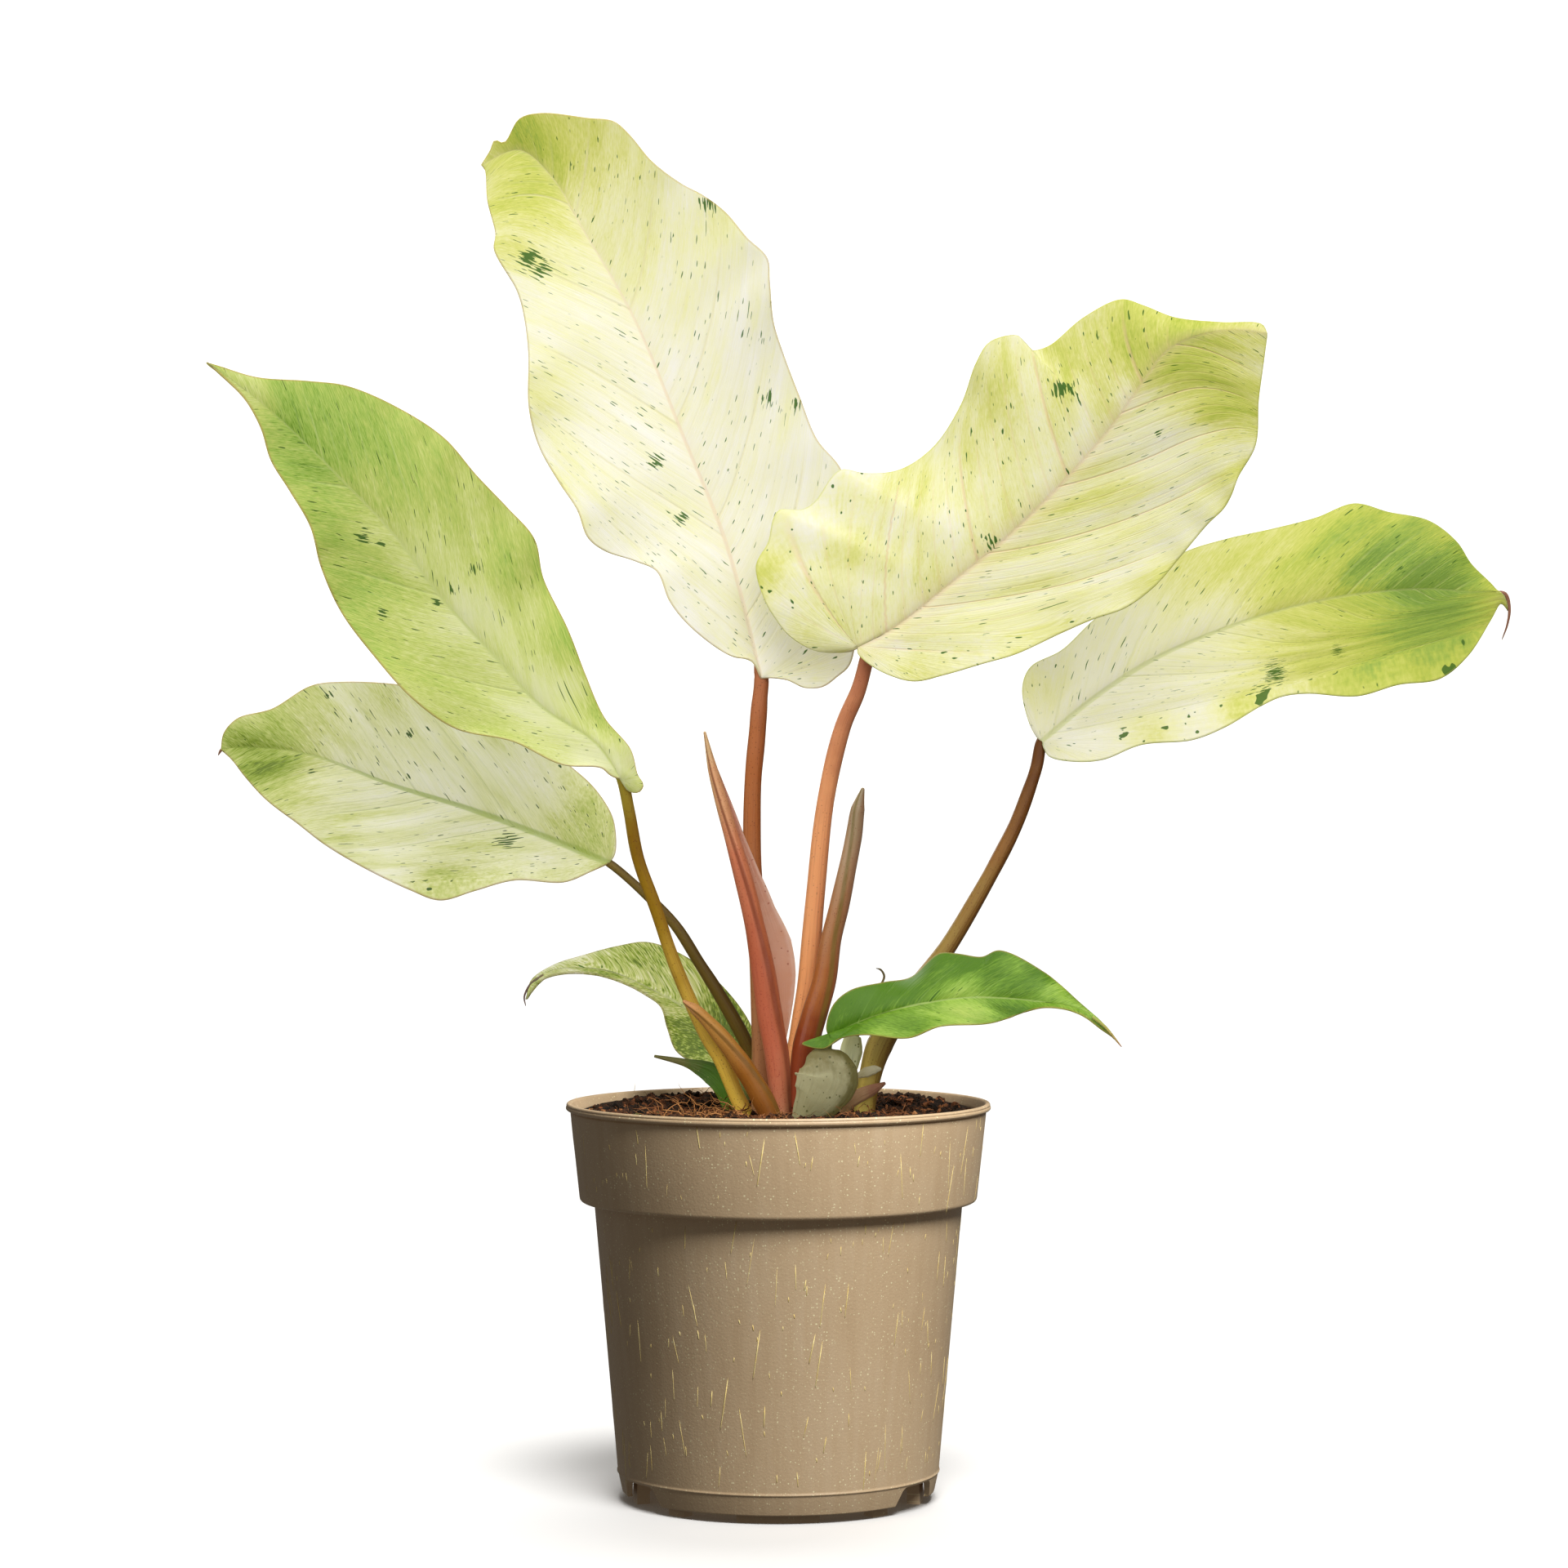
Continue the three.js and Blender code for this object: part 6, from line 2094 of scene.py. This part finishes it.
@dataclass(frozen=True)
class StrawFibres:
    """Straw in the pot's wall: thin flat slivers that mostly stand upright."""

    per_square_metre: float = 16000.0
    longest: float = 16.0
    width: float = 0.36
    flatness: float = 0.35
    lean: float = 0.22
    clearance: float = 0.02
    sides: int = 96
    seed: int = 4
    colours: Stops = ((0.35, (236, 196, 104)), (0.6, (255, 236, 170)))

    def carrier(self, pot: Pot) -> Shape:
        """Gives the outside of the wall, without the lip, the step and the skirt.

        Args:
            pot: The pot.

        Returns:
            The surface.
        """
        heights = (11.0, 81.0, 87.5, 107.5)
        wall = turned([(pot.radius_at(z) + self.clearance, z) for z in heights], self.sides)
        wall.faces = wall.faces[:self.sides] + wall.faces[-self.sides:]
        return wall

    def make(self, pot: Pot) -> bpy.types.Object:
        """Grows the slivers and keeps them.

        Args:
            pot: The pot that they are in.

        Returns:
            The slivers, as one piece.
        """
        finish = GrainFinish("straw", self.colours, 500.0, 0.6, 0.0001)
        growth = Growth("straw in the wall", finish.material(), self.per_square_metre, self.seed)
        longest = growth.asked("Longest", self.longest * MM)
        width = growth.asked("Width", self.width * MM)
        along = {"Rotation": Value(growth, growth.points.outputs["Rotation"]), "Vector": (0.0, 0.0, 1.0)}
        upright = growth.add("FunctionNodeAlignRotationToVector", along, axis="X", pivot_axis="Z")
        tilt = growth.turns((0, 0, -self.lean), (0, 0, self.lean), 7)
        turn = growth.add("FunctionNodeRotateRotation", {0: upright, 1: tilt}, rotation_space="LOCAL")
        length = (growth.random(0.0, 1.0, 8) ** 3.0 + 0.1) * longest
        across = growth.random(0.5, 1.2, 9) * width
        sliver = growth.add("GeometryNodeMeshIcoSphere", {"Radius": 0.5, "Subdivisions": 1})
        size = growth.vector(length, across, across * self.flatness)
        piece = growth.finish(growth.copies(sliver, turn, size), True).grow("pot_straw", self.carrier(pot))
        return keep(piece, Group.POT, "pot_plastic")


@dataclass
class Soil:
    """Potting soil: a lumpy bed that fills the pot, crumbs on it, and coir and root fibres."""

    level: float = 107.8
    back_rise: float = 2.3
    gap: float = 0.3
    rings: int = 64
    segments: int = 180
    patch_rings: int = 24
    patch_sides: int = 48

    PEAT: ClassVar[GrainFinish] = GrainFinish(
        "peat", ((0.3, (14, 10, 7)), (0.48, (34, 24, 15)), (0.62, (72, 46, 28)), (0.75, (116, 76, 46))),
        320.0, 0.95, 0.001)
    CRUMB: ClassVar[GrainFinish] = GrainFinish(
        "peat crumbs", ((0.36, (18, 13, 9)), (0.5, (48, 32, 20)), (0.66, (118, 70, 40))), 160.0, 0.95)
    COIR: ClassVar[GrainFinish] = GrainFinish(
        "coir", ((0.34, (80, 42, 22)), (0.5, (142, 84, 46)), (0.66, (192, 134, 84))), 130.0, 0.8)
    MOSS: ClassVar[GrainFinish] = GrainFinish(
        "moss", ((0.34, (44, 46, 22)), (0.5, (86, 86, 44)), (0.66, (130, 126, 78))), 200.0)
    ROOT: ClassVar[GrainFinish] = GrainFinish(
        "root fibres", ((0.3, (130, 78, 38)), (0.6, (192, 132, 76))), 120.0, 0.7)

    def top_radius(self, pot: Pot) -> float:
        """Gives the radius of the soil's top, a little inside the collar."""
        return pot.collar_top - pot.wall - self.gap - 0.1

    def raised(self, shape: Shape, top: float, first: int = 0) -> Shape:
        """Lifts the points of a flat surface to the soil's lumps and hollows.

        Args:
            shape: The surface.
            top: The radius of the soil's top.
            first: The first point that is lifted.

        Returns:
            The same surface.
        """
        for point in shape.points[first:]:
            point[2] += self.rise(float(point[0]), float(point[1]), top)
        return shape

    def rise(self, x: float, y: float, top: float) -> float:
        """Finds how far the soil stands above its level.

        Args:
            x: The place to the right of the pot's axis.
            y: The place behind it.
            top: The radius of the soil's top.

        Returns:
            The height above the level.
        """
        share = min(max((y + 12) / 60, 0), 1)
        back = self.back_rise * share * share * (3 - 2 * share)
        slow = math.sin(0.11 * x + 0.6) * math.cos(0.13 * y - 0.4)
        lumps = math.sin(0.31 * x + 0.17 * y + 1) * math.sin(0.27 * y - 0.21 * x + 2)
        fade = min(1, (top - math.hypot(x, y)) / 8 + 0.25)
        fine = noise.fractal(Vector((x, y, 3.0)) * 0.35, 0.6, 2.1, 5) * 0.9
        return back + fade * (0.5 * slow + 0.6 * lumps) + min(1, fade) * fine

    def bed(self, pot: Pot) -> Shape:
        """Builds the bed: flat below, along the wall, and lumpy on top.

        Args:
            pot: The pot that it fills.

        Returns:
            The bed.
        """
        top, foot = self.top_radius(pot), pot.plate_top + self.gap
        below = [(0, foot), (pot.body_foot - pot.wall - self.gap, foot),
                 (pot.body_top - pot.wall - self.gap, pot.collar_z + pot.wall + self.gap),
                 (pot.collar_foot - pot.wall - self.gap, pot.collar_z + 2.2 + self.gap)]
        rings = [(top * (1 - ring / self.rings), self.level) for ring in range(self.rings + 1)]
        return self.raised(turned(below + rings, self.segments), top, len(below) * self.segments)

    def surface(self, pot: Pot, centre: tuple[float, float], radius: float) -> Shape:
        """Gives a round piece of the soil's top to grow crumbs and fibres on.

        Args:
            pot: The pot.
            centre: Its middle [x, y].
            radius: Its radius.

        Returns:
            The surface.
        """
        rings = range(self.patch_rings + 1)
        disc = turned([(radius * ring / self.patch_rings, self.level) for ring in rings], self.patch_sides)
        disc.points = disc.points + (*centre, 0)
        disc.faces = [(face[0], *face[:0:-1]) for face in disc.faces]
        return self.raised(disc, self.top_radius(pot))

    def crumbs(self, name: str, finish: GrainFinish, density: float, smallest: float, largest: float,
               seed: int) -> Growth:
        """Builds the tree that scatters uneven crumbs.

        Args:
            name: The tree's name.
            finish: The crumbs' finish.
            density: Crumbs for each square metre.
            smallest: The smallest crumb's size.
            largest: The largest crumb's size.
            seed: The seed of the random draws.

        Returns:
            The tree.
        """
        growth = Growth(name, finish.material(), density, seed)
        low, high = growth.asked("Smallest", smallest * MM), growth.asked("Largest", largest * MM)
        ball = growth.add("GeometryNodeMeshIcoSphere", {"Radius": 0.5, "Subdivisions": 2})
        crumb = growth.shaken(ball, 1.6, growth.asked("Unevenness", 0.75))
        size = growth.vector(*(growth.random(low, high, step) for step in range(3)))
        copies = growth.copies(crumb, growth.turns((0, 0, 0), (Growth.FULL_TURN,) * 3, 5), size)
        return growth.finish(growth.shaken(copies, 900.0, growth.asked("Shake", 0.8 * MM)), False)

    def fibres(self, name: str, finish: GrainFinish, density: float, lengths: tuple[float, float],
               tilt: float, radius: float, seed: int) -> Growth:
        """Builds the tree that scatters bent, tapered fibres.

        Args:
            name: The tree's name.
            finish: The fibres' finish.
            density: Fibres for each square metre.
            lengths: The shortest and the longest fibre.
            tilt: How steeply a fibre can rise, in radians.
            radius: The radius at its thick end.
            seed: The seed of the random draws.

        Returns:
            The tree.
        """
        growth = Growth(name, finish.material(), density, seed)
        shortest, longest = (
            growth.asked(word, length * MM) for word, length in zip(("Shortest", "Longest"), lengths))
        line = growth.add("GeometryNodeCurvePrimitiveLine", {"Start": (0, 0, 0), "End": (1, 0, 0)})
        fibre = growth.add("GeometryNodeResampleCurve", {"Curve": line, "Count": 9})
        length = growth.random(shortest, longest, 1)
        turns = growth.turns((0, -tilt, 0), (0, 0.12, Growth.FULL_TURN), 2)
        copies = growth.copies(fibre, turns, growth.vector(length, length, length))
        loose = growth.shaken(copies, 160.0, growth.asked("Bend", 9 * MM))
        taper = 1.15 - growth.add("GeometryNodeSplineParameter", {})
        tubes = growth.add("GeometryNodeCurveToMesh", {
            "Curve": loose,
            "Profile Curve": growth.add("GeometryNodeCurvePrimitiveCircle", {"Resolution": 4, "Radius": 1.0}),
            "Scale": taper * growth.asked("Radius", radius * MM),
            "Fill Caps": True,
        })
        return growth.finish(tubes, True)

    def make(self, pot: Pot) -> None:
        """Builds the soil with everything on it, and keeps it.

        Args:
            pot: The pot that it is in.
        """
        keep(self.bed(pot).build("soil_fine", self.PEAT.material()), Group.POT, "potting_soil", "soil")
        scatter = (
            ("soil_crumbs", self.crumbs("crumbs", self.CRUMB, 150000, 1.0, 3.4, 21), (0, 0), 54.5),
            ("soil_coir_bits", self.crumbs("coir bits", self.COIR, 42000, 0.8, 2.8, 41), (0, 0), 54.5),
            ("soil_moss_bits", self.crumbs("moss bits", self.MOSS, 60000, 0.8, 2.6, 51), (-36, -12), 9),
            ("soil_coir_fibres", self.fibres("coir fibres", self.COIR, 60000, (5, 12), 0.35, 0.13, 61),
             (0, 0), 43),
            ("soil_root_fibres", self.fibres("root fibres", self.ROOT, 120000, (6, 15), 0.75, 0.22, 81),
             (-20, -10), 13),
        )
        for name, growth, centre, radius in scatter:
            keep(growth.grow(name, self.surface(pot, centre, radius)), Group.POT, "potting_soil")


class Crown:
    """The buried stem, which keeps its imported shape."""

    FINISH = GrainFinish(
        "buried stem", ((0.3, (88, 66, 38)), (0.5, (126, 100, 60)), (0.7, (158, 130, 86))), 140.0, 0.8)

    def make(self) -> None:
        """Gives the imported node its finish."""
        node = frame["nodes"]["crown"]
        material = self.FINISH.material()
        for slot in node.material_slots:
            slot.material = material
        if not node.material_slots:
            node.data.materials.append(material)
        Group.POT.take(node)
        log.info("crown: packed shape, finish added")


@dataclass(frozen=True)
class Lamp:
    """A round soft lamp for one group of pieces.

    azimuth is to the right of the camera, strength is the light that falls on a surface facing the lamp,
    angle is how wide the lamp looks, and reach is its distance from the pot's top in millimetres. A lamp
    without a reach is far away. blockers are the pieces that cast its shadows, if not all do, and tint is
    its colour in linear light.
    """

    name: str
    azimuth: float
    elevation: float
    strength: float
    angle: float
    group: Group
    reach: float = 0.0
    blockers: Group | None = None
    tint: Triple = (1.0, 0.985, 0.96)

    def hang(self) -> None:
        """Makes the lamp."""
        azimuth, elevation = math.radians(self.azimuth), math.radians(self.elevation)
        level = math.cos(elevation)
        towards = Vector((math.sin(azimuth) * level, -math.cos(azimuth) * level, math.sin(elevation)))
        lamp = bpy.data.lights.new(self.name, "AREA" if self.reach else "SUN")
        if self.reach:
            distance = self.reach * MM
            lamp.shape = "DISK"
            lamp.size = 2 * distance * math.tan(math.radians(self.angle / 2))
            lamp.energy = self.strength * math.pi * distance**2
        else:
            lamp.angle = math.radians(self.angle)
            lamp.energy = self.strength
        lamp.color = self.tint
        holder = placed(self.name, lamp)
        holder.location = Vector((0, 0, Pot.height * MM)) + towards * self.reach * MM
        holder.rotation_euler = towards.to_track_quat("Z", "Y").to_euler()
        linking = holder.light_linking
        linking.receiver_collection = bpy.data.collections[self.group.value]
        if self.blockers is not None:
            linking.blocker_collection = bpy.data.collections[self.blockers.value]


@dataclass(frozen=True)
class Studio:
    """A pale floor, wide soft lamps and the camera."""

    lamps: tuple[Lamp, ...] = (
        Lamp("pot lamp", 33, 42, 4.35, 28, Group.POT, reach=640, tint=(0.96, 0.985, 0.985)),
        Lamp("soil lamp", 160, 75, 1.2, 30, Group.POT),
        Lamp("plant lamp", 28, 45, 1.1, 60, Group.PLANT),
        Lamp("front lamp", -26, 16, 3.5, 130, Group.PLANT, blockers=Group.FLOOR),
        Lamp("back lamp", 200, 32, 1.3, 50, Group.PLANT),
        Lamp("floor lamp", 14, 60, 2.8, 25, Group.FLOOR, blockers=Group.POT),
        Lamp("floor lamp behind", 168, 67, 1.1, 36, Group.FLOOR, blockers=Group.POT),
    )
    fill: float = 0.12
    fill_tint: tuple[float, ...] = (1.0, 0.975, 0.92, 1.0)
    backdrop: float = 1.3
    floor_size: float = 60.0
    floor_drop: float = 0.02
    floor_white: tuple[float, ...] = (0.95, 0.95, 0.95, 1.0)
    floor_glow: float = 0.01
    sensor: float = 36.0
    lens: float = 93.75
    farthest: float = 200.0

    def floor(self) -> None:
        """Lays the floor."""
        half = self.floor_size / 2 / MM
        outline = ((-half, -half), (half, -half), (half, half), (-half, half))
        slab = Pot.block(outline, -1 - self.floor_drop, -self.floor_drop)
        paint = Paint("white floor", 0.9, 0.0)
        paint.feed(paint.shader, {
            "Base Color": self.floor_white,
            "Emission Color": (1.0, 1.0, 1.0, 1.0),
            "Emission Strength": self.floor_glow,
        })
        floor = slab.build("studio_floor", paint.material)
        floor.data.shade_flat()
        floor.visible_diffuse = False
        floor.visible_glossy = False
        Group.FLOOR.take(floor)

    def world(self) -> None:
        """Fills the room with even light that is white to look at and low on the plant."""
        world = bpy.data.worlds.new("studio")
        bpy.context.scene.world = world
        world.use_nodes = True
        tree = Tree(world.node_tree)
        seen = tree.add("ShaderNodeLightPath", {}, "Is Camera Ray")
        strength = tree.add("ShaderNodeMapRange", {0: seen, 3: self.fill, 4: self.backdrop})
        light = tree.add("ShaderNodeBackground", {"Color": self.fill_tint, "Strength": strength})
        tree.node("ShaderNodeOutputWorld", {"Surface": light})

    def camera(self) -> None:
        """Sets the level camera where the outlines are drawn from."""
        lens = bpy.data.cameras.new("camera")
        lens.sensor_width = self.sensor
        lens.lens = self.lens
        lens.clip_end = self.farthest
        holder = placed("camera", lens)
        holder.location = (EYE.x * MM, -EYE.distance * MM, EYE.z * MM)
        holder.rotation_euler = (math.pi / 2, 0.0, 0.0)
        bpy.context.scene.camera = holder

    def make(self) -> None:
        """Builds the studio."""
        self.camera()
        self.floor()
        self.world()
        for lamp in self.lamps:
            lamp.hang()
        bpy.context.scene.view_settings.view_transform = "Standard"


def main() -> None:
    """Builds the pot, the soil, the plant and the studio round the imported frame."""
    logging.basicConfig(level=logging.INFO, format="%(name)s %(message)s")
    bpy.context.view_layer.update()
    pot = Pot()
    pot.make()
    StrawFibres().make(pot)
    Soil().make(pot)
    Crown().make()
    for plan in LEAVES:
        Leaf(plan).make()
    Foot().make()
    Studio().make()


if __name__ == "__main__":
    main()
